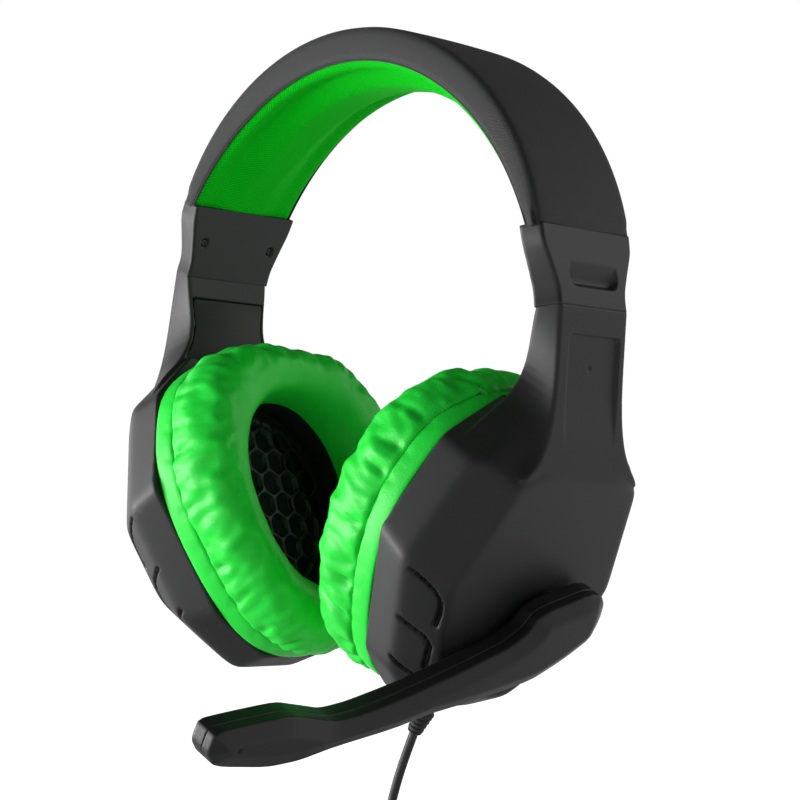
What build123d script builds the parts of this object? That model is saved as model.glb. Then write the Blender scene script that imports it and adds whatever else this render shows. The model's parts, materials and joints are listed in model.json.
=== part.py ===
from build123d import *
import math
import os

# Over-ear headset with a boom microphone, in millimetres.
# The origin is where the crown of the head meets the headband pad.
# +X is the wearer's left, -Y is forward, +Z is up.

# ---------------------------------------------------------------- driving dimensions
BAND_CENTRE_Z = -40.0           # the band is a polar curve about this height
BAND_OUTER = (52.3, 6.3)        # radius at the crown, and its growth with the angle squared
BAND_INNER = (42.2, 7.9)
BAND_WIDTH = 42.0
COVER_WALL = 1.6                # sewn cover, with its thin foam
PAD_DEPTH = 2.4                 # flat margin of the crown pad
PAD_CROWN = 2.2                 # raised middle of the crown pad
PAD_CROWN_WIDTH = 30.0
PAD_CROWN_LIMIT = 58.0          # degrees each side of the crown
SPRING_WIDTH = 14.0
SPRING_THICK = 0.8
SPRING_LIMIT = 62.0             # degrees each side of the crown
WIRE_SIZE = 1.6                 # crossover wire
WIRE_Y = 13.0

SLIDE_TILT = 14.0               # end blocks and sliders lean out at the bottom, degrees
BLOCK_FOOT = (69.65, 0.0, -61.85)
BLOCK_LENGTH = 21.9
BLOCK_TOP = (19.8, 21.3, 7.1)   # half width outside, half width inside, thickness
BLOCK_BOTTOM = (15.6, 17.6, 7.7)
BLOCK_SCREW_Y = 14.2
SLIDER_TRAVEL = 25.0
SLIDER_WIDTH = 22.0
SLIDER_THICK = 1.2
SLIDER_ABOVE = 12.0             # how far a closed slider reaches into the band
SLIDER_BELOW = 12.0             # how far it is let into the arm
SLIDER_PLAY = 0.4
DETENT_PITCH = 2.5

CUP_TILT = 23.07                # the cups lean in at the bottom, degrees
CUP_CENTRE = (41.6, 0.0, -128.8)
WALL = 2.2
BAFFLE_THICK = 2.4
MID_DEPTH = 12.0                # where the shell is widest
FACE_DEPTH = 23.8               # the shell's outer face
DRIVER_RADIUS = 20.0
EAR_HOLE = (23.5, 28.5)         # half width and half height of the ear opening
CUSHION_DEPTH = 25.4
RING_DEPTH = 2.0                # cushion retaining ring
GRILLE_THICK = 1.5
CLOTH_THICK = 0.3
HEX_PITCH = 7.7                 # between the centres of neighbouring grille cells
HEX_RADIUS = 3.9                # corner radius of a grille cell
HEX_REACH = 4                   # grille rows and columns on each side of the middle

PIVOT = (6.0, -9.5)             # boom pivot on the left cup's face
PIVOT_RADIUS = 2.5
HUB_PAD_RADIUS = 12.0
BOOM_BACK = 26.0                # the boom lies between these two depths
BOOM_SEAM = 30.5
BOOM_FRONT = 35.7
BOOM_WALL = 1.6
MIC_PLACE = (-105.5, -38.6)

CABLE_D = 2.6
CABLE_ROUTE = [(30.4, -9.1, -193.5), (28.3, -9.4, -205.0), (27.2, -9.7, -216.0)]
TAIL_ROUTE = [(36.3, -2.1, -249.0), (35.7, -2.6, -257.0), (35.4, -2.8, -264.0)]
CABLE_EXIT = (-9.0, -46.0, 14.0)    # u, v, w of the strain relief's root
RELIEF_LENGTH = 7.0
COIL_PITCH = 2.7
COIL_OUTER = 21.8               # outermost and innermost turns
COIL_INNER = 8.3
COIL_COLUMNS = 4
COIL_CENTRE = (14.2, -6.0, -240.0)
TIE_WIDTH = 8.0
PLUG_GRIP_LENGTH = 20.0
JACK_LENGTH = 14.0
JACK_RADIUS = 1.75

# Half outlines of a cup, in the cup's own plane: u forward or back, v up.
RIM_HALF = [(16.0, 47.2), (36.5, 34.0), (43.6, 3.5), (28.5, -33.0), (12.0, -46.5)]
MID_HALF = [(17.0, 47.0), (35.5, 32.0), (45.0, 2.0), (29.5, -33.5), (12.0, -47.0)]
FACE_HALF = [(13.0, 33.5), (26.6, 32.8), (34.3, -2.9), (28.0, -21.0), (12.0, -36.0)]

# The arm above a cup, as sections: x, z and half width outside, then the same inside.
ARM_SECTIONS = [
    (73.55, -61.35, 15.7, 65.9, -63.1, 17.7),
    (74.8, -80.0, 15.9, 63.1, -80.0, 16.8),
    (75.6, -96.0, 17.0, 61.2, -91.0, 19.5),
    (76.2, -107.5, 26.5, 60.8, -97.0, 26.0),
]
ARM_COVER_Z = (-84.0, -67.0)
ARM_COVER_HALF = 14.5
ARM_COVER_THICK = 1.8

BOSS_PLACES = [(22.0, 22.0), (-22.0, 22.0), (19.0, -22.0), (-19.0, -22.0)]

# The boom's outline in the cup's plane, upper edge from the hub to the tip and back below.
BOOM_OUTLINE = [
    (17.0, 2.5), (-4.0, 1.0), (-16.0, -6.0), (-30.0, -15.5), (-50.0, -25.0), (-68.0, -31.5),
    (-78.0, -32.5), (-90.0, -31.0), (-104.0, -33.0), (-116.0, -35.0), (-113.0, -43.0),
    (-92.0, -44.5), (-82.0, -43.0), (-70.0, -39.3), (-50.0, -34.8), (-38.0, -31.0),
    (-19.0, -27.4), (0.0, -23.0), (10.0, -17.5), (18.5, -10.0), (19.5, -4.0),
]

CUP_PLANE = Plane(
    origin=CUP_CENTRE,
    x_dir=(0, 1, 0),
    z_dir=(math.cos(math.radians(CUP_TILT)), 0, -math.sin(math.radians(CUP_TILT))),
)
SLIDE_PLANE = Plane(
    origin=BLOCK_FOOT,
    x_dir=(0, 1, 0),
    z_dir=(math.sin(math.radians(SLIDE_TILT)), 0, -math.cos(math.radians(SLIDE_TILT))),
)
OUTWARD = Plane((0, 0, 0), x_dir=(1, 0, 0), z_dir=(0, 1, 0))    # in slider coordinates


# ---------------------------------------------------------------- helpers
def on_cup(shape):
    """Move a shape from cup coordinates (u, v, depth) to its place on the left."""
    return CUP_PLANE.location * shape


def on_slide(shape):
    """Move a shape from slider coordinates (y, outward, down) to its place on the left."""
    return SLIDE_PLANE.location * shape


def polygon(points, level=0.0):
    """Flat face through the points, at one level of Z."""
    return make_face(Polyline(*[(x, y, level) for x, y in points], close=True))


def both_halves(half):
    """Closed outline from its half, mirrored in u."""
    return half + [(-u, v) for u, v in reversed(half)]


def shrunk(half, inset):
    """Half outline drawn in by an inset along both axes."""
    return [(u - math.copysign(inset, u), v - math.copysign(inset, v)) for u, v in half]


def scaled(half, factor):
    return [(u * factor, v * factor) for u, v in half]


def cup_loft(sections):
    """Flat-faced solid through (half outline, depth) sections."""
    return loft([polygon(both_halves(half), depth) for half, depth in sections], ruled=True)


def cylinder_at(radius, low, high, place=(0.0, 0.0)):
    """Cylinder along Z between two levels."""
    centre = (place[0], place[1], (low + high) / 2)
    return Pos(*centre) * Cylinder(radius, high - low)


def box_between(low, high):
    size = [b - a for a, b in zip(low, high)]
    centre = [(a + b) / 2 for a, b in zip(low, high)]
    return Pos(*centre) * Box(*size)


def ellipse_plug(half_u, half_v, low, high):
    return extrude(Pos(0, 0, low) * Ellipse(half_u, half_v), high - low)


def screw(place, head_low, tip, head_radius=2.2, shank_radius=1.1, head_height=1.2):
    """Screw along Z: its head starts at head_low and its shank ends at tip."""
    head = cylinder_at(head_radius, head_low, head_low + head_height, place)
    shank = cylinder_at(shank_radius, head_low + head_height, tip, place)
    return head + shank


# ---------------------------------------------------------------- headband
def band_points(curve, offset, limit):
    """Points of a polar curve across the band, from the right end to the left end."""
    steps = 8
    points = []
    for index in range(-steps, steps + 1):
        angle = math.radians(limit) * index / steps
        radius = curve[0] + curve[1] * angle ** 2 + offset
        points.append((radius * math.sin(angle), 0, BAND_CENTRE_Z + radius * math.cos(angle)))
    return points


def band_layer(inner, outer, y_low, y_high, limit=96.0):
    """Layer of the band between two (curve, offset) pairs, trimmed at the end blocks."""
    low = Spline(*band_points(*inner, limit))
    high = Spline(*band_points(*outer, limit))
    ends = [Line(low @ 0, high @ 0), Line(low @ 1, high @ 1)]
    face = make_face([low, high] + ends)
    solid = extrude(Pos(0, y_low, 0) * face, y_high - y_low, dir=(0, 1, 0))
    trim = on_slide(Pos(0, 0, -BLOCK_LENGTH + 20) * Box(80, 40, 40))
    return solid - trim - mirror(trim, about=Plane.YZ)


def slider_pockets():
    """Room for the two sliders inside the ends of the band."""
    width = SLIDER_WIDTH + 2 * SLIDER_PLAY
    thick = SLIDER_THICK + 2 * SLIDER_PLAY
    top = -BLOCK_LENGTH - SLIDER_ABOVE - 1.0
    pocket = on_slide(box_between((-width / 2, -thick / 2, top), (width / 2, thick / 2, 0)))
    return pocket + mirror(pocket, about=Plane.YZ)


def make_headband():
    half = BAND_WIDTH / 2
    inside = half - COVER_WALL
    pockets = slider_pockets()
    shell = band_layer((BAND_INNER, 0.6), (BAND_OUTER, 0), -half, half)
    core = band_layer((BAND_INNER, -3), (BAND_OUTER, -COVER_WALL), -inside, inside)
    cover = shell - core - pockets
    margin = band_layer((BAND_INNER, 0), (BAND_INNER, PAD_DEPTH), -inside, inside)
    crown = band_layer((BAND_INNER, -PAD_CROWN), (BAND_INNER, PAD_DEPTH / 2), -PAD_CROWN_WIDTH / 2,
                       PAD_CROWN_WIDTH / 2, PAD_CROWN_LIMIT)
    pad = margin + crown - pockets
    frame = band_layer((BAND_INNER, PAD_DEPTH), (BAND_OUTER, -COVER_WALL), -inside, inside)
    spring_top = -COVER_WALL - 0.2
    spring_low = (BAND_OUTER, spring_top - SPRING_THICK)
    spring_sides = (-SPRING_WIDTH / 2, SPRING_WIDTH / 2, SPRING_LIMIT)
    spring = band_layer(spring_low, (BAND_OUTER, spring_top), *spring_sides)
    wire_low = (BAND_OUTER, spring_top - WIRE_SIZE)
    wire_sides = (WIRE_Y, WIRE_Y + WIRE_SIZE)
    wire = band_layer(wire_low, (BAND_OUTER, spring_top), *wire_sides)
    frame -= band_layer(spring_low, (BAND_OUTER, 2), *spring_sides)
    frame -= band_layer(wire_low, (BAND_OUTER, 2), *wire_sides)
    frame -= pockets
    return {
        "headband_cover": cover,
        "headband_pad": pad,
        "headband_frame": frame,
        "headband_spring": spring,
        "crossover_wire": wire,
    }


def block_section(size, level):
    outside, inside, thick = size
    corners = [(-outside, thick / 2), (outside, thick / 2), (inside, -thick / 2), (-inside, -thick / 2)]
    return polygon(corners, level)


def make_end_block():
    """Left end block: two covers round the slider, with a leaf spring for its clicks."""
    body = loft([block_section(BLOCK_TOP, -BLOCK_LENGTH), block_section(BLOCK_BOTTOM, 0)], ruled=True)
    width = SLIDER_WIDTH / 2 + SLIDER_PLAY
    thick = SLIDER_THICK / 2 + SLIDER_PLAY
    channel = box_between((-width, -thick, -BLOCK_LENGTH - 1), (width, thick, 1))
    recess = box_between((-9.5, 2.6, -9.0), (9.5, 6.0, -4.2))
    leaf_room = box_between((-5.0, -thick - 1.0, -15.0), (5.0, -thick, -6.0))
    wire_way = box_between((WIRE_Y - 0.1, 0.2, -BLOCK_LENGTH - 1), (WIRE_Y + WIRE_SIZE, 1.9, 1))
    screws = Part()
    for side in (-1, 1):
        place = (side * BLOCK_SCREW_Y, 11.0)
        screws += OUTWARD.location * screw(place, -3.7, 2.6, head_radius=1.8, shank_radius=0.9)
    outer_half = box_between((-30, 0, -30), (30, 10, 5))
    inner_half = box_between((-30, -10, -30), (30, 0, 5))
    leaf = box_between((-4.5, -thick - 1.0, -14.5), (4.5, -thick - 0.5, -6.5))
    return {
        "end_block_outer": on_slide((body & outer_half) - channel - recess - screws - wire_way),
        "end_block_inner": on_slide((body & inner_half) - channel - leaf_room - screws),
        "block_screws": on_slide(screws),
        "detent_leaf": on_slide(leaf),
    }


# ---------------------------------------------------------------- sliders and arms
def make_slider():
    """Steel strip that carries the left cup, with a row of click dimples and two screws."""
    half = SLIDER_WIDTH / 2
    top = -BLOCK_LENGTH - SLIDER_ABOVE
    strip = box_between((-half, -SLIDER_THICK / 2, top), (half, SLIDER_THICK / 2, SLIDER_BELOW))
    for index in range(int(SLIDER_TRAVEL / DETENT_PITCH) + 1):
        level = -10.0 - index * DETENT_PITCH
        strip -= OUTWARD.location * cylinder_at(0.8, -2, 2, (0, -level))
    screws = Part()
    for side in (-1, 1):
        screws += OUTWARD.location * screw((side * 6.0, -8.0), -3.2, 1.2, head_height=1.4)
    return {"slider": on_slide(strip - screws), "slider_screws": on_slide(screws)}


def arm_solid():
    """The arm from just under the end block down into the shell."""
    faces = []
    for x_out, z_out, half_out, x_in, z_in, half_in in ARM_SECTIONS:
        corners = [(x_out, -half_out, z_out), (x_out, half_out, z_out),
                   (x_in, half_in, z_in), (x_in, -half_in, z_in)]
        faces.append(make_face(Polyline(*corners, close=True)))
    return loft(faces, ruled=True)


def arm_inner_face(z):
    """Height z to the x of the arm's inner face."""
    x_top, z_top = ARM_SECTIONS[0][3:5]
    x_low, z_low = ARM_SECTIONS[2][3:5]
    return x_top + (x_low - x_top) * (z - z_top) / (z_low - z_top)


def arm_prism(near, far, half, z_low, z_high):
    """Prism that follows the arm's inner face, between two distances behind it."""
    corners = []
    for z, depth in ((z_low, near), (z_high, near), (z_high, far), (z_low, far)):
        corners.append((arm_inner_face(z) + depth, -half, z))
    face = make_face(Polyline(*corners, close=True))
    return extrude(face, 2 * half, dir=(0, 1, 0))


def make_shell(slider, screws, cover):
    """Left cup's outer shell and arm in one moulding, hollow, with four screw bosses."""
    outer = cup_loft([(RIM_HALF, 0), (MID_HALF, MID_DEPTH), (FACE_HALF, FACE_DEPTH)])
    inner = cup_loft([(shrunk(RIM_HALF, WALL), -1), (shrunk(MID_HALF, WALL), MID_DEPTH),
                      (shrunk(FACE_HALF, WALL), FACE_DEPTH - WALL)])
    shell = on_cup(outer) + arm_solid() - on_cup(inner)
    for place in BOSS_PLACES:
        boss = cylinder_at(3.0, BAFFLE_THICK, FACE_DEPTH - WALL / 2, place)
        shell += on_cup(boss)
    for place in BOSS_PLACES:
        shell -= on_cup(cylinder_at(1.1, 0, FACE_DEPTH - WALL - 8, place))
    return shell - slider - screws - cover


def make_arm_cover(slider_and_screws):
    """Cover let into the arm's inner face, over the slider's screws."""
    z_low, z_high = ARM_COVER_Z
    plate = arm_prism(0.2, ARM_COVER_THICK, ARM_COVER_HALF, z_low, z_high)
    return plate - slider_and_screws


# ---------------------------------------------------------------- inside a cup
def make_cup_inside():
    """Baffle, driver, grille, cloth, ring, cushion and screws of the left cup."""
    plate = shrunk(RIM_HALF, WALL + 0.5)
    baffle = cup_loft([(plate, 0), (plate, BAFFLE_THICK)])
    baffle -= cylinder_at(DRIVER_RADIUS - 2.5, -1, BAFFLE_THICK + 1)
    screws = Part()
    for place in BOSS_PLACES:
        screws += screw(place, 0.3, 11.0, head_radius=2.2, shank_radius=1.1)
        baffle -= cylinder_at(2.3, -1, 1.5, place) + cylinder_at(1.1, 0, BAFFLE_THICK + 1, place)
    frame_top = BAFFLE_THICK + 6.5
    frame = cylinder_at(DRIVER_RADIUS, BAFFLE_THICK, frame_top)
    frame -= cylinder_at(DRIVER_RADIUS - 3.0, BAFFLE_THICK - 1, frame_top - 1.2)
    for index in range(6):
        angle = math.radians(60 * index)
        vent = (13.0 * math.cos(angle), 13.0 * math.sin(angle))
        frame -= cylinder_at(2.2, frame_top - 2, frame_top + 1, vent)
    diaphragm = cylinder_at(DRIVER_RADIUS - 3.0, BAFFLE_THICK + 1.0, BAFFLE_THICK + 1.5)
    dome = Pos(0, 0, BAFFLE_THICK + 1.5) * Cone(8.0, 4.0, 1.6, align=(Align.CENTER, Align.CENTER, Align.MIN))
    magnet = cylinder_at(8.5, frame_top, frame_top + 4.5)
    board = box_between((-9.0, -32.0, BAFFLE_THICK), (9.0, -22.5, BAFFLE_THICK + 1.6))
    cloth = ellipse_plug(EAR_HOLE[0] - 0.6, EAR_HOLE[1] - 0.6, -CLOTH_THICK, 0)
    grille = ellipse_plug(EAR_HOLE[0] - 0.1, EAR_HOLE[1] - 0.1, -CLOTH_THICK - GRILLE_THICK, -CLOTH_THICK)
    cells = Part()
    row_height = HEX_PITCH * math.sqrt(3) / 2
    for row in range(-HEX_REACH, HEX_REACH + 1):
        shift = HEX_PITCH / 2 if row % 2 else 0.0
        for column in range(-HEX_REACH, HEX_REACH + 1):
            u, v = column * HEX_PITCH + shift, row * row_height
            if math.hypot(u / (EAR_HOLE[0] - HEX_RADIUS), v / (EAR_HOLE[1] - HEX_RADIUS)) < 1:
                cell = extrude(Pos(u, v, -4) * RegularPolygon(HEX_RADIUS, 6, rotation=30), 4)
                cells += cell
    grille -= cells
    ring = cup_loft([(shrunk(RIM_HALF, 4.0), -RING_DEPTH), (shrunk(RIM_HALF, 4.0), 0)])
    ring -= ellipse_plug(EAR_HOLE[0] + 0.4, EAR_HOLE[1] + 0.4, -RING_DEPTH - 1, 1)
    cushion = cup_loft([
        (scaled(RIM_HALF, 0.96), -CUSHION_DEPTH), (scaled(RIM_HALF, 1.035), -CUSHION_DEPTH + 7.0),
        (scaled(RIM_HALF, 1.035), -9.0), (shrunk(RIM_HALF, 0.8), -0.1),
    ])
    cushion -= ellipse_plug(*EAR_HOLE, -CUSHION_DEPTH - 1, 1)
    cushion -= cup_loft([(shrunk(RIM_HALF, 3.8), -RING_DEPTH - 0.1), (shrunk(RIM_HALF, 3.8), 1)])
    edge = 5.0
    cushion_rim = cup_loft([
        (scaled(RIM_HALF, 1.2), -CUSHION_DEPTH - 1), (scaled(RIM_HALF, 1.2), -CUSHION_DEPTH + edge)])
    cushion_rim -= cup_loft([
        (scaled(RIM_HALF, 0.82), -CUSHION_DEPTH - 1), (scaled(RIM_HALF, 1.04), -CUSHION_DEPTH + edge)])
    return {
        "baffle": on_cup(baffle),
        "baffle_screws": on_cup(screws),
        "driver_frame": on_cup(frame),
        "driver_diaphragm": on_cup(diaphragm + dome),
        "driver_magnet": on_cup(magnet),
        "terminal_board": on_cup(board),
        "grille_cloth": on_cup(cloth),
        "grille": on_cup(grille),
        "cushion_ring": on_cup(ring),
        "ear_cushion": on_cup(cushion - cushion_rim),
    }


# ---------------------------------------------------------------- boom microphone
def make_boom(shell):
    """Boom, its pivot, washer and nut. Returns the parts and the drilled shell."""
    outline = polygon(BOOM_OUTLINE)
    hollow = offset(outline, -BOOM_WALL, kind=Kind.INTERSECTION)
    back = extrude(Pos(0, 0, BOOM_BACK) * outline, BOOM_SEAM - BOOM_BACK)
    back += cylinder_at(HUB_PAD_RADIUS, FACE_DEPTH + 0.55, BOOM_BACK + 0.5, PIVOT)
    back -= extrude(Pos(0, 0, BOOM_BACK + 1.8) * hollow, 10)
    back -= cylinder_at(PIVOT_RADIUS + 0.06, 20, 40, PIVOT)
    front = extrude(Pos(0, 0, BOOM_SEAM) * outline, BOOM_FRONT - BOOM_SEAM)
    front -= extrude(Pos(0, 0, BOOM_SEAM - 1) * hollow, BOOM_FRONT - BOOM_SEAM + 1 - BOOM_WALL)
    screws = Part()
    for place in [(-87.0, -37.8), (-12.0, -16.0)]:
        front += cylinder_at(2.2, BOOM_BACK + 1.8, BOOM_FRONT - BOOM_WALL, place)
        item = screw(place, BOOM_BACK, BOOM_SEAM + 2.0, head_radius=1.6, shank_radius=0.9)
        front -= item
        back -= item
        screws += item
    mic_top = BOOM_FRONT - BOOM_WALL
    capsule = cylinder_at(2.7, mic_top - 2.4, mic_top, MIC_PLACE)
    boot = cylinder_at(3.3, mic_top - 2.4, mic_top, MIC_PLACE) - capsule
    front -= cylinder_at(0.8, mic_top - 1, BOOM_FRONT + 1, MIC_PLACE)
    pivot = cylinder_at(PIVOT_RADIUS, FACE_DEPTH - WALL - 2.4, BOOM_BACK + 1.95, PIVOT)
    pivot += cylinder_at(4.6, BOOM_BACK + 1.95, BOOM_BACK + 3.4, PIVOT)
    nut = cylinder_at(4.6, FACE_DEPTH - WALL - 2.0, FACE_DEPTH - WALL, PIVOT)
    nut -= cylinder_at(PIVOT_RADIUS, 0, 40, PIVOT)
    washer = cylinder_at(6.5, FACE_DEPTH, FACE_DEPTH + 0.5, PIVOT)
    washer -= cylinder_at(PIVOT_RADIUS, 0, 40, PIVOT)
    parts = {
        "boom_back_shell": on_cup(back),
        "boom_front_shell": on_cup(front),
        "boom_screws": on_cup(screws),
        "mic_capsule": on_cup(capsule),
        "mic_boot": on_cup(boot),
        "boom_pivot": on_cup(pivot),
        "boom_pivot_nut": on_cup(nut),
        "boom_friction_washer": on_cup(washer),
    }
    return parts, shell - on_cup(cylinder_at(PIVOT_RADIUS, 15, 30, PIVOT))


# ---------------------------------------------------------------- cable
def route_tube(points, diameter):
    """Round tube along straight runs joined by tangent arcs. Prints its radii and length."""
    runs = [math.dist(a, b) for a, b in zip(points, points[1:])]
    radii = []
    for index in range(1, len(points) - 1):
        before = Vector(*points[index]) - Vector(*points[index - 1])
        after = Vector(*points[index + 1]) - Vector(*points[index])
        half_turn = math.radians(before.get_angle(after)) / 2
        radii.append(0.45 * min(runs[index - 1], runs[index]) / math.tan(half_turn))
    path = FilletPolyline(*points, radius=radii)
    start = Plane(origin=path @ 0, z_dir=path % 0)
    tube = sweep(start * Circle(diameter / 2), path=path)
    volume = math.pi * diameter ** 2 / 4 * path.length
    print("radii", [round(r, 1) for r in radii], "length", round(path.length, 1),
          "volume ratio", round(tube.volume / volume, 4))
    return tube


def along_y(shape):
    """Turn a shape made along Z so that it lies along Y, at the coil's centre."""
    return Plane(COIL_CENTRE, x_dir=(1, 0, 0), z_dir=(0, 1, 0)).location * shape


def make_relief():
    """Ribbed strain relief at the foot of the left cup, its hole, and the cable's first point."""
    u, v, w = CABLE_EXIT
    down_cup = Plane((u, v, w), x_dir=(1, 0, 0), z_dir=(0, -1, 0)).location
    relief = Pos(0, 0, RELIEF_LENGTH / 2) * Cone(3.2, 2.1, RELIEF_LENGTH)
    relief += cylinder_at(2.4, -3.4, 0)
    relief += cylinder_at(4.0, -4.6, -3.4)
    hole = cylinder_at(2.4, -4, 4)
    exit_point = on_cup(down_cup * Pos(0, 0, RELIEF_LENGTH)).position
    return on_cup(down_cup * relief), on_cup(down_cup * hole), exit_point


def make_cable(exit_point):
    """Cable, tied coil, tail and plug, hanging from the left cup."""
    x, y, z = COIL_CENTRE
    first_y = y - COIL_PITCH * (COIL_COLUMNS - 1) / 2
    last_y = y + COIL_PITCH * (COIL_COLUMNS - 1) / 2
    slant = COIL_OUTER * math.sqrt(0.5)
    route = [tuple(exit_point)] + CABLE_ROUTE + [(x + slant, first_y, z + slant)]
    cable = route_tube(route, CABLE_D)
    skin = COIL_PITCH / 2
    width = COIL_PITCH * COIL_COLUMNS
    coil = cylinder_at(COIL_OUTER + skin, -width / 2, width / 2)
    coil -= cylinder_at(COIL_INNER - skin, -width, width)
    tie = box_between((-TIE_WIDTH / 2, -COIL_OUTER - 2.6, -width / 2 - 1.2),
                      (TIE_WIDTH / 2, -COIL_INNER + 2.6, width / 2 + 1.2))
    tie -= coil
    tail_route = [(x + COIL_OUTER, last_y, z)] + TAIL_ROUTE
    tail = route_tube(tail_route, CABLE_D)
    end_x, end_y, end_z = TAIL_ROUTE[-1]
    grip_end = end_z - PLUG_GRIP_LENGTH
    grip = Pos(end_x, end_y, end_z - 4.0) * Cone(4.0, 2.2, 8.0)
    grip += cylinder_at(4.0, grip_end, end_z - 8.0, (end_x, end_y))
    jack = cylinder_at(JACK_RADIUS, grip_end - JACK_LENGTH + 2.0, grip_end, (end_x, end_y))
    tip = Pos(end_x, end_y, grip_end - JACK_LENGTH + 1.0) * Cone(0.8, JACK_RADIUS, 2.0)
    return {
        "cable": cable,
        "cable_coil": along_y(coil),
        "cable_tie": along_y(tie),
        "cable_tail": tail,
        "plug_grip": grip,
        "plug_jack": jack + tip,
    }


# ---------------------------------------------------------------- assembly
def both_sides(parts):
    """Name the left parts, and add their mirror images on the right."""
    named = {}
    for name, shape in parts.items():
        named["left_" + name] = shape
        named["right_" + name] = mirror(shape, about=Plane.YZ)
    return named


def make_headset():
    slider = make_slider()
    fixed_to_arm = slider["slider"] + slider["slider_screws"]
    cover = make_arm_cover(fixed_to_arm)
    shell = make_shell(slider["slider"], slider["slider_screws"], cover)
    boom, left_shell = make_boom(shell)
    relief, hole, exit_point = make_relief()
    parts = make_headband()
    parts.update(both_sides(make_end_block()))
    parts.update(both_sides(slider))
    parts.update(both_sides(make_cup_inside()))
    parts.update(both_sides({"arm_cover": cover, "outer_shell": shell}))
    parts["left_outer_shell"] = left_shell - hole - relief
    parts.update(boom)
    parts["strain_relief"] = relief
    parts.update(make_cable(exit_point))
    return parts


os.makedirs("parts", exist_ok=True)
for node, shape in make_headset().items():
    export_step(shape, os.path.join("parts", node + ".step"))
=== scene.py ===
import bpy
import bmesh
import json
import math
import numpy as np
from mathutils import Matrix, Vector, noise


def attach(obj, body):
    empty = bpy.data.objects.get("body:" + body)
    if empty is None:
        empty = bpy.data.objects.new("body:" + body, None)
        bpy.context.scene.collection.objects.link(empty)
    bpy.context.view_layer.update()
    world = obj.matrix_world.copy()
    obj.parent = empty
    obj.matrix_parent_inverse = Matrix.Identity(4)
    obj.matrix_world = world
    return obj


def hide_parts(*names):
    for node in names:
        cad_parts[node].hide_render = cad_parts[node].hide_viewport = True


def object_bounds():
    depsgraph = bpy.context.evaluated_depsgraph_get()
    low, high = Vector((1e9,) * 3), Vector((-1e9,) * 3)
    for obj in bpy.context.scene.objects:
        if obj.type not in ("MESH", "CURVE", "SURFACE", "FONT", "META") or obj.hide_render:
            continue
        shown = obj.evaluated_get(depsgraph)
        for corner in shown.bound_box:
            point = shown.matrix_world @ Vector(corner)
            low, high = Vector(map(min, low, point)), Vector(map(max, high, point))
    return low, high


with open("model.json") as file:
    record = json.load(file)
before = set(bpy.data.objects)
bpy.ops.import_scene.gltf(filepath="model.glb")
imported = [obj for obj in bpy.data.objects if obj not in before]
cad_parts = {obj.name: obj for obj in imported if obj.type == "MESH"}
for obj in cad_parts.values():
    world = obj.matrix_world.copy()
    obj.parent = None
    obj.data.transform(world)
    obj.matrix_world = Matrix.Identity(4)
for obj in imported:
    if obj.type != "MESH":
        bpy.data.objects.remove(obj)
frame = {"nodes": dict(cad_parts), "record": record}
CAD_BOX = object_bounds()

# Everything is in metres, in the frame of the CAD model:
# +X is the wearer's left, -Y is forward, +Z is up, the origin is under the crown pad.
MM = 0.001

# ---------------------------------------------------------------- shared sizes
CUP_TILT = math.radians(23.07)
CUP_CENTRE = Vector((41.6, 0.0, -128.8))
RIM_HALF = [(16.0, 47.2), (36.5, 34.0), (43.6, 3.5), (28.5, -33.0), (12.0, -46.5)]
CUSHION_HALF = [(14.5, 43.6), (26.5, 39.0), (37.3, 30.0), (43.6, 3.5), (28.5, -33.0), (12.0, -46.5)]
FACE_DEPTH = 23.8
PIVOT = (6.0, -9.5)
SIDES = {"left": 1, "right": -1}


# ---------------------------------------------------------------- places and meshes
def side_matrix(side, second, third, origin):
    """From a side's own coordinates (mm), the first of them along Y, to the scene in metres."""
    columns = ((0, 1, 0), second, third, origin)
    place = Matrix([[column[row] for column in columns] for row in range(3)] + [[0, 0, 0, 1]])
    return Matrix.Diagonal((side * MM, MM, MM, 1)) @ place


def cup_matrix(side):
    """From cup coordinates (u, v, w) in mm to the scene in metres."""
    tilt_cos, tilt_sin = math.cos(CUP_TILT), math.sin(CUP_TILT)
    return side_matrix(side, (tilt_sin, 0, tilt_cos), (tilt_cos, 0, -tilt_sin), CUP_CENTRE)


def link(name, mesh):
    piece = bpy.data.objects.new(name, mesh)
    bpy.context.collection.objects.link(piece)
    return piece


def mesh_piece(name, points, faces, smooth=True):
    """Object from points in metres and face lists, with normals made consistent."""
    mesh = bpy.data.meshes.new(name)
    mesh.from_pydata([tuple(p) for p in points], [], faces)
    mesh.validate()
    work = bmesh.new()
    work.from_mesh(mesh)
    bmesh.ops.recalc_face_normals(work, faces=work.faces)
    work.to_mesh(mesh)
    work.free()
    mesh.polygons.foreach_set("use_smooth", [smooth] * len(mesh.polygons))
    return link(name, mesh)


def grid_faces(rows, columns, wrap_rows=False, wrap_columns=False):
    """Quads of a grid of points stored row by row."""
    faces = []
    for i in range(rows if wrap_rows else rows - 1):
        here, above = i * columns, (i + 1) % rows * columns
        for j in range(columns if wrap_columns else columns - 1):
            k = (j + 1) % columns
            faces.append((here + j, here + k, above + k, above + j))
    return faces


def tube_faces(rows, columns):
    """Faces of a tube of closed loops, with both its ends."""
    ends = [tuple(reversed(range(columns))), tuple(range((rows - 1) * columns, rows * columns))]
    return grid_faces(rows, columns, wrap_columns=True) + ends


def prism(name, loops):
    """Closed surface through a list of closed loops with equal counts, capped at both ends."""
    return mesh_piece(name, [p for loop in loops for p in loop], tube_faces(len(loops), len(loops[0])))


def ring(name, loops):
    """Closed ring through loops with equal counts, the last of them joined to the first."""
    faces = grid_faces(len(loops), len(loops[0]), wrap_rows=True, wrap_columns=True)
    return mesh_piece(name, [p for loop in loops for p in loop], faces)


def circle(radius, count):
    """Points of a circle round the origin, counter-clockwise."""
    angles = [2 * math.pi * k / count for k in range(count)]
    return [(radius * math.cos(a), radius * math.sin(a)) for a in angles]


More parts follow.
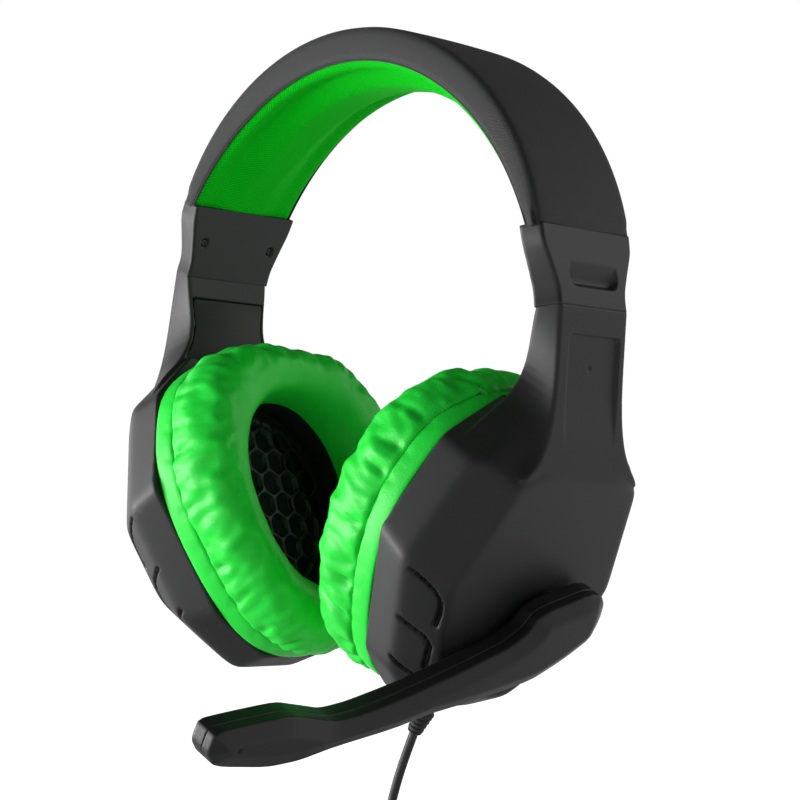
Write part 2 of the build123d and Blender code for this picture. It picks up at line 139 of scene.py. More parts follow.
def lathe(name, profile, segments=48):
    """Solid of revolution about Z from (radius, z) pairs in mm, closed at both ends."""
    return prism(name, [[Vector((x, y, z)) * MM for x, y in circle(radius, segments)]
                        for radius, z in profile])


def smooth_step(low, high, value):
    t = min(1.0, max(0.0, (value - low) / (high - low)))
    return t * t * (3 - 2 * t)


def modifier(piece, kind, **settings):
    made = piece.modifiers.new(kind.lower(), kind)
    for key, value in settings.items():
        setattr(made, key, value)
    return made


def apply_modifiers(piece):
    """Replace the piece's mesh with its evaluated mesh."""
    graph = bpy.context.evaluated_depsgraph_get()
    mesh = bpy.data.meshes.new_from_object(piece.evaluated_get(graph))
    piece.modifiers.clear()
    old = piece.data
    piece.data = mesh
    bpy.data.meshes.remove(old)


def change(piece, kind, **settings):
    """Put a piece through one modifier."""
    modifier(piece, kind, **settings)
    apply_modifiers(piece)


def cut(piece, tool):
    """Take one closed piece out of another."""
    change(piece, "BOOLEAN", operation="DIFFERENCE", solver="EXACT", object=tool)
    bpy.data.objects.remove(tool)


def smooth_shading(piece):
    piece.data.polygons.foreach_set("use_smooth", [True] * len(piece.data.polygons))


def settle(piece, body, slot, *replaces, look=None):
    """Give a finished piece its body and the material of its slot, or of the look given, and hide the CAD
    nodes it stands for.
    """
    piece.data.materials.clear()
    piece.data.materials.append(LOOKS[look or slot])
    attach(piece, body)
    if replaces:
        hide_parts(*replaces)
    return piece


def paint(piece, slot, faces):
    """Give some faces of a piece a second material."""
    piece.data.materials.append(LOOKS[slot])
    for index in faces:
        piece.data.polygons[index].material_index = 1


def stand(piece, matrix, place, direction):
    """Put a piece made along +Z at a place in a side's own coordinates, turned to a direction."""
    turn = (matrix.to_3x3() @ Vector(direction)).to_track_quat("Z", "Y").to_matrix().to_4x4()
    piece.data.transform(Matrix.Translation(matrix @ Vector(place)) @ turn)


# ---------------------------------------------------------------- camera, light and floor
SKY_DIM = 0.06                      # brightness overhead, where the horizon's is 1
SIDE_DIM = 0.62                     # brightness at the sides, where the backdrop's is 1
BACKDROP_SIDE = (-0.649, 0.76, 0.0)


def make_camera():
    """The photograph's view: azimuth 40.5, just above level, with a little roll."""
    azimuth, elevation, roll = math.radians(40.506), math.radians(1.298), math.radians(6.038)
    distance = 0.70886
    back = Vector((math.sin(azimuth) * math.cos(elevation),
                   -math.cos(azimuth) * math.cos(elevation), math.sin(elevation)))
    level = Vector((0, 0, 1)).cross(back).normalized()
    upright = back.cross(level)
    right = level * math.cos(roll) + upright * math.sin(roll)
    up = upright * math.cos(roll) - level * math.sin(roll)
    target = Vector((0, 0, -0.09287)) + right * 0.00613
    data = bpy.data.cameras.new("camera")
    data.sensor_width = 36.0
    data.lens = 110.17
    data.clip_start = 0.01
    camera = link("camera", data)
    place = Matrix((right, up, back)).transposed().to_4x4()
    place.translation = target + back * distance
    camera.matrix_world = place
    bpy.context.scene.camera = camera


def area_light(name, place, target, size, watts):
    data = bpy.data.lights.new(name, "AREA")
    data.shape = "RECTANGLE"
    data.size, data.size_y = size
    data.energy = watts
    lamp = link(name, data)
    lamp.location = place
    lamp.rotation_euler = (Vector(target) - Vector(place)).to_track_quat("-Z", "Y").to_euler()


def behind(tree, direction):
    """1 towards the backdrop behind the object, dimmer on the other sides of the studio."""
    level = add_node(tree, "VectorMath", {0: direction}, operation="NORMALIZE").outputs["Vector"]
    towards = add_node(tree, "VectorMath", {0: level, 1: BACKDROP_SIDE}, operation="DOT_PRODUCT")
    return map_range(tree, towards.outputs["Value"], (0.3, 0.8), (SIDE_DIM, 1.0))


def make_floor(level):
    """Pale floor with a painted glow that brightens with distance from the object into white surroundings:
    painted shade near the object, dimmer at the sides.
    """
    side = 6.0
    corners = [(-side, -side, level), (side, -side, level), (side, side, level), (-side, side, level)]
    floor = mesh_piece("floor", corners, [(0, 1, 2, 3)], smooth=False)
    material, tree, shader, space = node_material("pale_floor")
    distance = add_node(tree, "VectorMath", {0: space}, operation="LENGTH").outputs["Value"]
    # painted glow: the floor's emission, weak near the object as a painted pool of shade, full further out
    far = map_range(tree, distance, (0.4, 0.58), (0.2, 1.0), "SMOOTHSTEP")
    grain = noise_value(tree, space, 9.0, 2.0)
    feed(tree, shader, {
        "Base Color": ramp(tree, grain, [(0.0, (0.8,) * 3), (1.0, (0.83,) * 3)]),
        "Roughness": 0.8,
        "Specular IOR Level": 0.1,
        "Emission Color": (1, 1, 1, 1),
        "Emission Strength": maths(tree, "MULTIPLY", far, behind(tree, space)),
    })
    floor.data.materials.append(material)


def make_surroundings():
    """White at the horizon behind the object, dimmer at the sides and overhead."""
    world = bpy.data.worlds.new("surroundings")
    bpy.context.scene.world = world
    world.use_nodes = True
    tree = world.node_tree
    direction = tree.nodes.new("ShaderNodeTexCoord").outputs["Generated"]
    shade = ramp(tree, parts_of(tree, direction)[2], [
        (0.0, (1, 1, 1)), (0.17, (1, 1, 1)), (0.25, (SKY_DIM,) * 3), (1.0, (SKY_DIM * 0.8,) * 3)])
    feed(tree, tree.nodes["Background"], {"Color": shade, "Strength": behind(tree, direction)})


def make_studio():
    """Pale floor, white surroundings and soft boxes on all sides."""
    make_floor(CAD_BOX[0][2] - 0.02)
    make_surroundings()
    bpy.context.scene.view_settings.view_transform = "Standard"
    centre = (0, 0, -0.1)
    area_light("front_key", (-0.85, -0.8, -0.14), centre, (1.1, 0.5), 10.5)
    area_light("right_soft", (1.0, -0.4, 0.35), centre, (0.6, 1.0), 0.6)
    area_light("left_soft", (-1.0, 0.1, -0.05), centre, (0.6, 0.4), 0.5)
    area_light("top_soft", (0.1, -0.1, 0.95), centre, (0.6, 0.6), 0.15)
    area_light("back_soft", (0.6, 0.85, 0.42), centre, (0.9, 0.5), 2.4)
    area_light("low_bounce", (-0.55, -0.5, -0.26), (0, 0, -0.02), (0.5, 0.1), 4.2)


# ---------------------------------------------------------------- materials
def feed(tree, node, inputs):
    """Set a node's inputs, each to a value or to another node's output."""
    for key, value in inputs.items():
        if isinstance(value, bpy.types.NodeSocket):
            tree.links.new(value, node.inputs[key])
        else:
            node.inputs[key].default_value = value


def add_node(tree, kind, inputs, **settings):
    node = tree.nodes.new("ShaderNode" + kind)
    for key, value in settings.items():
        setattr(node, key, value)
    feed(tree, node, inputs)
    return node


def node_material(name):
    """New material: its tree, its principled shader and a place to read object space from."""
    material = bpy.data.materials.new(name)
    material.use_nodes = True
    tree = material.node_tree
    shader = next(n for n in tree.nodes if n.type == "BSDF_PRINCIPLED")
    space = tree.nodes.new("ShaderNodeTexCoord").outputs["Object"]
    return material, tree, shader, space


def parts_of(tree, vector):
    """X, Y and Z of a vector."""
    return tuple(add_node(tree, "SeparateXYZ", {"Vector": vector}).outputs)


def pointiness(tree):
    return tree.nodes.new("ShaderNodeNewGeometry").outputs["Pointiness"]


def ramp(tree, source, stops):
    """Colour ramp over a value: stops are (position, colour)."""
    node = add_node(tree, "ValToRGB", {"Fac": source})
    while len(node.color_ramp.elements) < len(stops):
        node.color_ramp.elements.new(0.5)
    for element, (position, colour) in zip(node.color_ramp.elements, stops):
        element.position = position
        element.color = (*colour, 1.0)
    return node.outputs["Color"]


def scaled_colour(colour, factor):
    return tuple(c * factor for c in colour)


def tones(tree, source, colour, dark, light, stops=(0.3, 0.7)):
    """A colour that a value carries from a darker to a lighter tone."""
    return ramp(tree, source, [(stop, scaled_colour(colour, k)) for stop, k in zip(stops, (dark, light))])


def noise_value(tree, space, scale, detail):
    return add_node(tree, "TexNoise", {"Scale": scale, "Detail": detail, "Vector": space}).outputs["Fac"]


def maths(tree, operation, *values):
    return add_node(tree, "Math", dict(enumerate(values)), operation=operation).outputs["Value"]


def plus(tree, value, other, share=1.0):
    """The first value and a share of the other."""
    return maths(tree, "ADD", value, maths(tree, "MULTIPLY", other, share))


def bump(tree, height, strength, distance):
    inputs = {"Height": height, "Strength": strength, "Distance": distance}
    return add_node(tree, "Bump", inputs).outputs["Normal"]


def map_range(tree, value, source, target, interpolation="LINEAR"):
    inputs = {"Value": value, "From Min": source[0], "From Max": source[1],
              "To Min": target[0], "To Max": target[1]}
    return add_node(tree, "MapRange", inputs, interpolation_type=interpolation).outputs["Result"]


def mixed(tree, factor, first, second, blend="MIX"):
    """Colour mix: inputs 6 and 7 are the node's two colours, output 2 is its colour."""
    inputs = {"Factor": factor, 6: first, 7: second}
    return add_node(tree, "Mix", inputs, data_type="RGBA", blend_type=blend).outputs[2]


def grained_plastic(name, colour, roughness, grain=1500.0, strength=0.12, gloss=0.38):
    """Satin moulded plastic: fine spark-eroded grain, faint blotches, and a painted highlight that lightens
    its sharp edges.
    """
    material, tree, shader, space = node_material(name)
    blotch = noise_value(tree, space, 28.0, 5.0)
    # painted highlight: convex edges, found by pointiness, get a lighter base colour
    edges = map_range(tree, pointiness(tree), (0.515, 0.6), (0, 1))
    fine = noise_value(tree, space, grain, 4.0)
    cells = add_node(tree, "TexVoronoi", {"Scale": grain * 1.3, "Vector": space}).outputs["Distance"]
    feed(tree, shader, {
        "Base Color": mixed(tree, edges, tones(tree, blotch, colour, 0.86, 1.12),
                            (*scaled_colour(colour, 1.9), 1.0)),
        "Normal": bump(tree, plus(tree, fine, cells, 0.6), strength, 0.00012),
        "Roughness": map_range(tree, blotch, (0, 1), (roughness - 0.05, roughness + 0.06)),
        "Specular IOR Level": gloss,
    })
    return material


def leatherette(name, colour):
    """Soft artificial leather: pebble grain, painted shade darkening its creases, satin gloss."""
    material, tree, shader, space = node_material(name)
    base = tones(tree, noise_value(tree, space, 45.0, 4.0), colour, 0.9, 1.06)
    # painted shade: low pointiness, in creases and hollows, darkens the base colour
    crease = ramp(tree, pointiness(tree), [(0.44, (0.45, 0.5, 0.45)), (0.495, (1, 1, 1))])
    pebbles = add_node(tree, "TexVoronoi", {"Scale": 1150.0, "Vector": space}, feature="DISTANCE_TO_EDGE")
    ridges = ramp(tree, pebbles.outputs["Distance"], [(0.0, (0, 0, 0)), (0.25, (1, 1, 1))])
    wrinkle = noise_value(tree, space, 320.0, 5.0)
    feed(tree, shader, {
        "Base Color": mixed(tree, 1.0, base, crease, "MULTIPLY"),
        "Normal": bump(tree, plus(tree, wrinkle, ridges, 0.35), 0.28, 0.00025),
        "Roughness": map_range(tree, wrinkle, (0, 1), (0.36, 0.5)),
        "Specular IOR Level": 0.26,
    })
    return material


def weave(tree, along, across, pitch_along, pitch_across):
    """Product of two waves: the bumps of a weave or knit."""
    waves = [maths(tree, "SINE", maths(tree, "MULTIPLY", place, 2 * math.pi / pitch))
             for place, pitch in ((along, pitch_along), (across, pitch_across))]
    return maths(tree, "MULTIPLY", *waves)


def uv_parts(tree):
    """UVs of the swept pieces: millimetres along the band and round its section."""
    return parts_of(tree, add_node(tree, "UVMap", {}, uv_map="UVMap").outputs["UV"])[:2]


def knit_mesh(name, colour):
    """Knitted spacer mesh: rows of small round holes, each row shifted by half a stitch."""
    material, tree, shader, space = node_material(name)
    along, across = uv_parts(tree)
    holes = weave(tree, plus(tree, along, across, 0.58), across, 0.9, 0.8)
    yarn = noise_value(tree, space, 900.0, 4.0)
    feed(tree, shader, {
        "Base Color": ramp(tree, plus(tree, 0.5, holes, 0.35), [
            (0.15, scaled_colour(colour, 0.55)), (0.6, colour), (0.95, scaled_colour(colour, 1.12))]),
        "Normal": bump(tree, plus(tree, holes, yarn, 0.6), 0.5, 0.00022),
        "Roughness": 0.72,
        "Specular IOR Level": 0.04,
    })
    return material


def woven_cover(name, colour):
    """Fine coated fabric: tight weave, slubs and a soft sheen."""
    material, tree, shader, space = node_material(name)
    along, across = uv_parts(tree)
    wobble = noise_value(tree, space, 260.0, 3.0)
    threads = weave(tree, plus(tree, along, wobble, 0.5), across, 0.45, 0.45)
    slub = noise_value(tree, space, 700.0, 5.0)
    feed(tree, shader, {
        "Base Color": tones(tree, plus(tree, slub, threads, 0.2), colour, 0.75, 1.2, (0.25, 0.75)),
        "Normal": bump(tree, plus(tree, threads, slub, 0.9), 0.3, 0.00014),
        "Roughness": 0.66,
        "Specular IOR Level": 0.36,
        "Sheen Weight": 0.1,
    })
    return material


def cloth_weave(name, colour, scale):
    """Plain woven cloth or webbing, with its weave in object space."""
    material, tree, shader, space = node_material(name)
    x, y, z = parts_of(tree, space)
    threads = weave(tree, plus(tree, x, z), plus(tree, y, z), scale, scale)
    fuzz = noise_value(tree, space, 1400.0, 4.0)
    feed(tree, shader, {
        "Base Color": tones(tree, fuzz, colour, 0.6, 1.4),
        "Normal": bump(tree, plus(tree, threads, fuzz), 0.6, 0.0002),
        "Roughness": 0.9,
        "Specular IOR Level": 0.2,
    })
    return material


def metal(name, colour, roughness):
    """Metal with fine uneven polish and hairline marks."""
    material, tree, shader, space = node_material(name)
    stretched = add_node(tree, "Mapping", {"Scale": (1, 1, 9), "Vector": space}).outputs["Vector"]
    hair = noise_value(tree, stretched, 400.0, 6.0)
    feed(tree, shader, {
        "Base Color": tones(tree, hair, colour, 0.8, 1.1),
        "Metallic": 1.0,
        "Roughness": map_range(tree, hair, (0, 1), (roughness * 0.7, roughness * 1.4)),
        "Normal": bump(tree, hair, 0.05, 0.0001),
    })
    return material


def make_materials():
    """One finished material for every slot of the record."""
    black = (0.0115, 0.012, 0.012)
    return {
        "shell_plastic": grained_plastic("satin_shell", black, 0.5),
        "boom_plastic": grained_plastic("satin_boom", scaled_colour(black, 0.82), 0.48),
        "inner_plastic": grained_plastic("inner_moulding", scaled_colour(black, 0.75), 0.58),
        "frame_plastic": grained_plastic("frame_moulding", scaled_colour(black, 0.9), 0.6),
        "grille_plastic": grained_plastic("grille_moulding", (0.014, 0.014, 0.0145), 0.45, gloss=0.5),
        "plug_plastic": grained_plastic("plug_moulding", (0.018, 0.018, 0.018), 0.55),
        "washer_nylon": grained_plastic("nylon", (0.6, 0.6, 0.57), 0.45),
        "board_green": grained_plastic("solder_mask", (0.02, 0.16, 0.06), 0.3, 500.0),
        "diaphragm_film": grained_plastic("film", (0.25, 0.25, 0.26), 0.25, 300.0),
        "cable_rubber": grained_plastic("cable_sheath", (0.016, 0.016, 0.0165), 0.55, 2200.0, 0.2),
        "wire_rubber": grained_plastic("wire_sheath", (0.02, 0.02, 0.02), 0.55, 2200.0),
        "green_leatherette": leatherette("green_leatherette", (0.014, 0.66, 0.045)),
        "green_mesh": knit_mesh("green_knit", (0.003, 0.6, 0.012)),
        "cover_fabric": woven_cover("black_cover", (0.0145, 0.0152, 0.0152)),
        "grille_cloth": cloth_weave("speaker_cloth", (0.012, 0.012, 0.0125), 0.0007),
        "tie_strap": cloth_weave("strap_loop", (0.02, 0.02, 0.02), 0.0012),
        "black_screw": metal("black_oxide", (0.06, 0.06, 0.062), 0.38),
        "slider_steel": metal("black_steel", (0.07, 0.07, 0.072), 0.42),
        "spring_steel": metal("spring_steel", (0.5, 0.5, 0.51), 0.3),
        "magnet_steel": metal("plated_steel", (0.6, 0.6, 0.6), 0.25),
        "pivot_steel": metal("pivot_steel", (0.55, 0.55, 0.56), 0.3),
        "jack_metal": metal("gold_plate", (0.86, 0.62, 0.27), 0.2),
    }


LOOKS = make_materials()


def finish_cad_nodes():
    """Give every CAD node that stays visible its finished material."""
    slots = {row["node"]: row["material_slot"] for row in frame["record"]["subparts"]}
    for name, node in frame["nodes"].items():
        node.data.materials.clear()
        node.data.materials.append(LOOKS[slots[name]])


# ---------------------------------------------------------------- cable
CABLE_D = 2.6
CABLE_EXIT = (33.708, -9.0, -183.047)
CABLE_ROUTE = [(30.4, -9.1, -193.5), (28.3, -9.4, -205.0), (27.2, -9.7, -216.0)]
TAIL_ROUTE = [(36.3, -2.1, -249.0), (35.7, -2.6, -257.0), (35.4, -2.8, -264.0)]
COIL_CENTRE = (14.2, -6.0, -240.0)
COIL_PITCH = 2.7
COIL_OUTER = 21.8
COIL_INNER = 8.3
COIL_COLUMNS = 4
COIL_ENTRY = math.radians(45)       # where the cable joins the coil, above level
CROSS_TURNS = 0.375                 # part of a turn spent stepping to the next column
POINTS_PER_TURN = 16


def coil_points():
    """The coil's turns: four flat spirals side by side, wound in, out, in and out."""
    spiral_turns = (COIL_OUTER - COIL_INNER) / COIL_PITCH
    block = spiral_turns + CROSS_TURNS
    first = COIL_CENTRE[1] - COIL_PITCH * (COIL_COLUMNS - 1) / 2
    bulge = 1 / math.cos(math.pi / POINTS_PER_TURN)
    count = int((COIL_COLUMNS * block - CROSS_TURNS) * POINTS_PER_TURN)
    points = []
    for index in range(1, count + 1):
        turn = index / POINTS_PER_TURN
        column = min(int(turn / block), COIL_COLUMNS - 1)
        along = turn - column * block
        wound = min(along, spiral_turns) * COIL_PITCH
        radius = (COIL_OUTER - wound if column % 2 == 0 else COIL_INNER + wound) * bulge
        angle = COIL_ENTRY - 2 * math.pi * turn
        points.append((COIL_CENTRE[0] + radius * math.cos(angle),
                       first + (column + smooth_step(spiral_turns, block, along)) * COIL_PITCH,
                       COIL_CENTRE[2] + radius * math.sin(angle)))
    return points


def make_cable():
    """Cable with its coil, tie, strain relief and plug, hanging from the left cup."""
    route = [CABLE_EXIT] + CABLE_ROUTE + coil_points() + TAIL_ROUTE
    curve = bpy.data.curves.new("headset_cable", "CURVE")
    curve.dimensions = "3D"
    curve.bevel_depth = CABLE_D / 2 * MM
    curve.bevel_resolution = 4
    curve.use_fill_caps = True
    spline = curve.splines.new("NURBS")
    spline.points.add(len(route) - 1)
    for control, (x, y, z) in zip(spline.points, route):
        control.co = (x * MM, y * MM, z * MM, 1)
    spline.order_u = 3
    spline.use_endpoint_u = True
    spline.resolution_u = 6
    cable = link("headset_cable", curve)
    settle(cable, "left_cup", "cable_rubber", "cable", "cable_coil", "cable_tail")
    make_relief()
    make_tie()
    make_plug_grip()
    make_jack()


def make_relief():
    """Tapered rubber sleeve with bending slots, at the foot of the left cup."""
    profile = [(0.2, -4.0), (2.3, -4.0), (2.3, 0.0), (3.1, 0.1), (3.2, 0.6)]
    slots = 4
    for index in range(slots):
        low = 0.9 + index * 1.45
        radius = 3.15 - 0.16 * low
        profile += [(radius, low), (radius, low + 0.75),
                    (radius - 0.55, low + 0.85), (radius - 0.55, low + 1.35)]
    relief = lathe("cable_strain_relief", profile + [(2.15, 6.7), (1.95, 7.0), (1.32, 7.0)], 40)
    stand(relief, cup_matrix(1), (-9.0, -46.0, 14.0), (0, -1, 0))
    return settle(relief, "left_cup", "cable_rubber", "strain_relief")


def rounded_rectangle(half_a, half_b, radius, steps):
    """Points of a rounded rectangle, counter-clockwise."""
    points = []
    for quarter, (sa, sb) in enumerate(((1, 1), (-1, 1), (-1, -1), (1, -1))):
        for k in range(steps + 1):
            angle = math.pi / 2 * (quarter + k / steps)
            points.append((sa * (half_a - radius) + radius * math.cos(angle),
                           sb * (half_b - radius) + radius * math.sin(angle)))
    return points


def make_tie():
    """Hook and loop strap round the top of the coil."""
    middle = (COIL_OUTER + COIL_INNER) / 2
    half_radial = (COIL_OUTER - COIL_INNER) / 2 + CABLE_D / 2 + 0.8
    half_across = COIL_PITCH * COIL_COLUMNS / 2 + 0.5
    path = rounded_rectangle(half_across, half_radial, 2.6, 8)
    half_width, half_thick = 3.6, 0.45
    section = rounded_rectangle(half_width, half_thick, 0.35, 3)
    loops = []
    for index, (y, r) in enumerate(path):
        before, after = path[index - 1], path[(index + 1) % len(path)]
        along = Vector((after[0] - before[0], after[1] - before[1])).normalized()
        loops.append([Vector((COIL_CENTRE[0] + width, COIL_CENTRE[1] + y + along.y * thick,
                              COIL_CENTRE[2] + middle + r - along.x * thick)) * MM
                      for width, thick in section])
    return settle(ring("cable_tie_strap", loops), "left_cup", "tie_strap", "cable_tie")


def make_plug_grip():
    """Plug's grip: a flexible neck, then a ribbed barrel."""
    profile = [(1.35, 0.0), (2.1, -0.2), (2.3, -3.4), (3.0, -5.0), (3.9, -6.6)]
    for index in range(5):
        level = -7.6 - index * 1.6
        profile += [(3.95, level), (3.95, level - 0.8), (3.6, level - 1.0), (3.6, level - 1.4)]
    profile += [(3.95, -15.8), (3.95, -19.4), (3.6, -20.0), (1.8, -20.0)]
    grip = lathe("plug_grip_sleeve", profile)
    grip.data.transform(Matrix.Translation(Vector(TAIL_ROUTE[-1]) * MM))
    return settle(grip, "left_cup", "plug_plastic", "plug_grip", look="cable_rubber")


def make_jack():
    """Four-pole 3.5 mm jack with its three insulating rings."""
    radius = 1.75
    profile = [(0.3, 0.0), (2.4, 0.0), (2.4, -0.7), (radius, -0.9)]
    ring_levels = (-3.6, -6.4, -9.2)
    for level in ring_levels:
        profile += [(radius, level), (radius - 0.06, level - 0.05), (radius - 0.06, level - 0.6),
                    (radius, level - 0.65)]
    profile += [(radius, -11.0), (1.3, -11.7), (1.2, -12.1), (1.5, -12.6), (1.1, -13.4), (0.3, -13.95)]
    jack = lathe("plug_jack_contacts", profile, 40)
    place = Vector(TAIL_ROUTE[-1]) + Vector((0, 0, -20))
    jack.data.transform(Matrix.Translation(place * MM))
    settle(jack, "left_cup", "jack_metal", "plug_jack")
    levels = [(face.index, face.center.z / MM - place.z) for face in jack.data.polygons]
    paint(jack, "plug_plastic", [index for index, depth in levels
                                 if any(r - 0.66 < depth < r + 0.01 for r in ring_levels)])
    return jack


# ---------------------------------------------------------------- smooth moulded solids
def smooth_max(a, b, blend):
    """Larger of two fields, with the corner between them rounded over the blend length."""
    spread = np.clip(1 - np.abs(a - b) / blend, 0, 1)
    return np.maximum(a, b) + spread ** 2 * blend / 4


def smooth_min(a, b, blend):
    return -smooth_max(-a, -b, blend)


def ease(low, high, value):
    t = np.clip((value - low) / (high - low), 0, 1)
    return t * t * (3 - 2 * t)


def slope_of(field, points, level):
    """Gradient of a field by finite differences."""
    step = 0.02
    columns = []
    for axis in range(3):
        moved = points.copy()
        moved[:, axis] += step
        columns.append((field(moved) - level) / step)
    return np.stack(columns, axis=1)


def points_of(piece):
    points = np.empty(len(piece.data.vertices) * 3)
    piece.data.vertices.foreach_get("co", points)
    return points.reshape(-1, 3)


def set_points(piece, points):
    piece.data.vertices.foreach_set("co", points.ravel())
    piece.data.update()


def pull_to_surface(piece, field, rounds):
    """Move every vertex (mm) to where the field is zero."""
    points = points_of(piece)
    for _ in range(rounds):
        level = field(points)
        slope = slope_of(field, points, level)
        size = np.maximum((slope ** 2).sum(axis=1), 0.05)
        move = -level[:, None] * slope / size[:, None]
        length = np.maximum(np.linalg.norm(move, axis=1), 1e-9)
        points += move * np.minimum(1.0, 1.5 / length)[:, None]
    set_points(piece, points)


def engrave(piece, field, depth):
    """Sink the surface of a piece (mm) by a depth given for its points."""
    points = points_of(piece)
    slope = slope_of(field, points, field(points))
    slope /= np.linalg.norm(slope, axis=1)[:, None]
    set_points(piece, points - slope * depth(points)[:, None])


def relax(piece, rounds):
    """Even out the vertices along the surface."""
    work = bmesh.new()
    work.from_mesh(piece.data)
    for _ in range(rounds):
        bmesh.ops.smooth_vert(work, verts=work.verts, factor=0.5,
                              use_axis_x=True, use_axis_y=True, use_axis_z=True)
    work.to_mesh(piece.data)
    work.free()


def moulded(name, start, field, voxel):
    """Closed piece (mm) on the zero surface of a field, from rough solids that overlap."""
    work = bmesh.new()
    for solid in start:
        work.from_mesh(solid.data)
        bpy.data.objects.remove(solid)
    mesh = bpy.data.meshes.new(name)
    work.to_mesh(mesh)
    work.free()
    piece = link(name, mesh)
    change(piece, "REMESH", mode="VOXEL", voxel_size=voxel)
    pull_to_surface(piece, field, 6)
    relax(piece, 2)
    pull_to_surface(piece, field, 2)
    change(piece, "SUBSURF", levels=1, subdivision_type="SIMPLE")
    pull_to_surface(piece, field, 2)
    smooth_shading(piece)
    return piece


def put_on_cup(piece, side):
    """Carry a piece made in cup coordinates to its side, with its faces the right way out."""
    piece.data.transform(cup_matrix(side))
    if side < 0:
        piece.data.flip_normals()


# ---------------------------------------------------------------- ear cup shells
MID_HALF = [(17.0, 47.0), (34.5, 31.4), (44.6, 2.0), (29.5, -33.5), (12.0, -47.0)]
FACE_HALF = [(13.0, 33.5), (26.6, 32.8), (34.3, -2.9), (28.0, -21.0), (12.0, -36.0)]
SHELL_RINGS = ((RIM_HALF, 0.0), (MID_HALF, 12.0), (FACE_HALF, FACE_DEPTH))
WALL = 3.2
SHELL_SHARPNESS = 1.7               # of the shell's edges, per mm
SLIDE_TILT = math.radians(14.0)
SLIDE_FOOT = (69.65, -61.85)
ARM_GAP = -0.6                      # the arm stands this far into the end block
ARM_OUTER_V = [30.0, 32.2, 34.5, 37.2, 40.0, 44.6, 50.0, 57.9, 66.7, 75.0]
ARM_OUTER_HALF = [28.5, 25.5, 22.5, 19.8, 18.2, 16.7, 15.7, 15.3, 15.3, 15.2]
ARM_INNER_V = [38.0, 40.2, 42.5, 47.7, 52.1, 56.5, 62.9, 70.0]
ARM_INNER_HALF = [32.0, 28.8, 24.6, 18.8, 16.4, 15.5, 16.3, 17.2]
PANEL = (-10.6, 12.4, 68.4, 40.0)   # recess on the arm: back, front, top, where it has faded out
COVER_V = (46.0, 64.5)              # ends of the cover on the arm's inner face
COVER_INSET = 1.3
COVER_DEPTH = 1.2
HOOK_LINES = [
    [(-0.6, 12.4), (-1.9, 16.6), (-3.7, 19.8), (-6.2, 21.6), (-9.5, 21.8), (-14.4, 21.2)],
    [(-16.0, 11.2), (-17.2, 15.6), (-18.2, 19.0), (-20.4, 20.8), (-24.5, 20.4), (-29.0, 19.2)],
    [(-28.8, 10.6), (-30.8, 14.7), (-33.0, 17.5), (-36.5, 18.6)],
]


def both_halves(half):
    return half + [(-u, v) for u, v in reversed(half)]


def facet_planes():
    """Outward normals and offsets of the shell's facets in cup coordinates."""
    inside = np.array((0.0, 0.0, 10.0))
    normals, offsets = [], []
    for (low, low_w), (high, high_w) in zip(SHELL_RINGS, SHELL_RINGS[1:]):
        low_loop, high_loop = both_halves(low), both_halves(high)
        for i in range(len(low_loop)):
            j = (i + 1) % len(low_loop)
            corners = [np.array((*low_loop[i], low_w)), np.array((*low_loop[j], low_w)),
                       np.array((*high_loop[j], high_w)), np.array((*high_loop[i], high_w))]
            normal = np.cross(corners[2] - corners[0], corners[3] - corners[1])
            normal /= np.linalg.norm(normal)
            middle = sum(corners) / 4
            if np.dot(normal, inside - middle) > 0:
                normal = -normal
            normals.append(normal)
            offsets.append(np.dot(normal, middle))
    return np.array(normals + [(0.0, 0.0, 1.0)]), np.array(offsets + [FACE_DEPTH])


FACET_NORMALS, FACET_OFFSETS = facet_planes()


def cup_field(p):
    """The facets' planes, with the corners between them rounded, above the rim."""
    fields = p @ FACET_NORMALS.T - FACET_OFFSETS
    top = fields.max(axis=1)
    spread = np.exp(SHELL_SHARPNESS * (fields - top[:, None])).sum(axis=1)
    return smooth_max(top + np.log(spread) / SHELL_SHARPNESS, -p[:, 2], 0.8)


def slide_depth(v, w):
    """How far below the end block a point of the cup's middle plane lies."""
    x = CUP_CENTRE.x + w * math.cos(CUP_TILT) + v * math.sin(CUP_TILT) - SLIDE_FOOT[0]
    z = CUP_CENTRE.z - w * math.sin(CUP_TILT) + v * math.cos(CUP_TILT) - SLIDE_FOOT[1]
    return x * math.sin(SLIDE_TILT) - z * math.cos(SLIDE_TILT)


def smooth_table(value, places, heights, reach=1.6):
    """Table lookup with its corners rounded by averaging nearby values."""
    shifts = (-reach, -reach / 2, 0.0, reach / 2, reach)
    return sum(np.interp(value + shift, places, heights) for shift in shifts) / len(shifts)


def arm_outer(v):
    return 2.96 + (74.57 - v) * 0.4965


def arm_inner(v):
    return -3.39 + (69.97 - v) * 0.2425


def arm_half(v, w):
    share = np.clip((w - arm_inner(v)) / np.maximum(arm_outer(v) - arm_inner(v), 1.0), 0, 1.2)
    outer = smooth_table(v, ARM_OUTER_V, ARM_OUTER_HALF, 4.0)
    inner = smooth_table(v, ARM_INNER_V, ARM_INNER_HALF, 4.0)
    return outer * share + inner * (1 - share)


def arm_field(p):
    u, v, w = p[:, 0], p[:, 1], p[:, 2]
    outside = smooth_max((w - arm_outer(v)) * 0.896, w - FACE_DEPTH, 2.0)
    sides = np.abs(u) - arm_half(v, w)
    inside = (arm_inner(v) - w) * 0.972
    field = smooth_max(outside, sides, 1.0)
    field = smooth_max(field, inside, 1.2)
    field = smooth_max(field, ARM_GAP - slide_depth(v, w), 0.2)
    return smooth_max(field, 30.5 - v, 3.0)


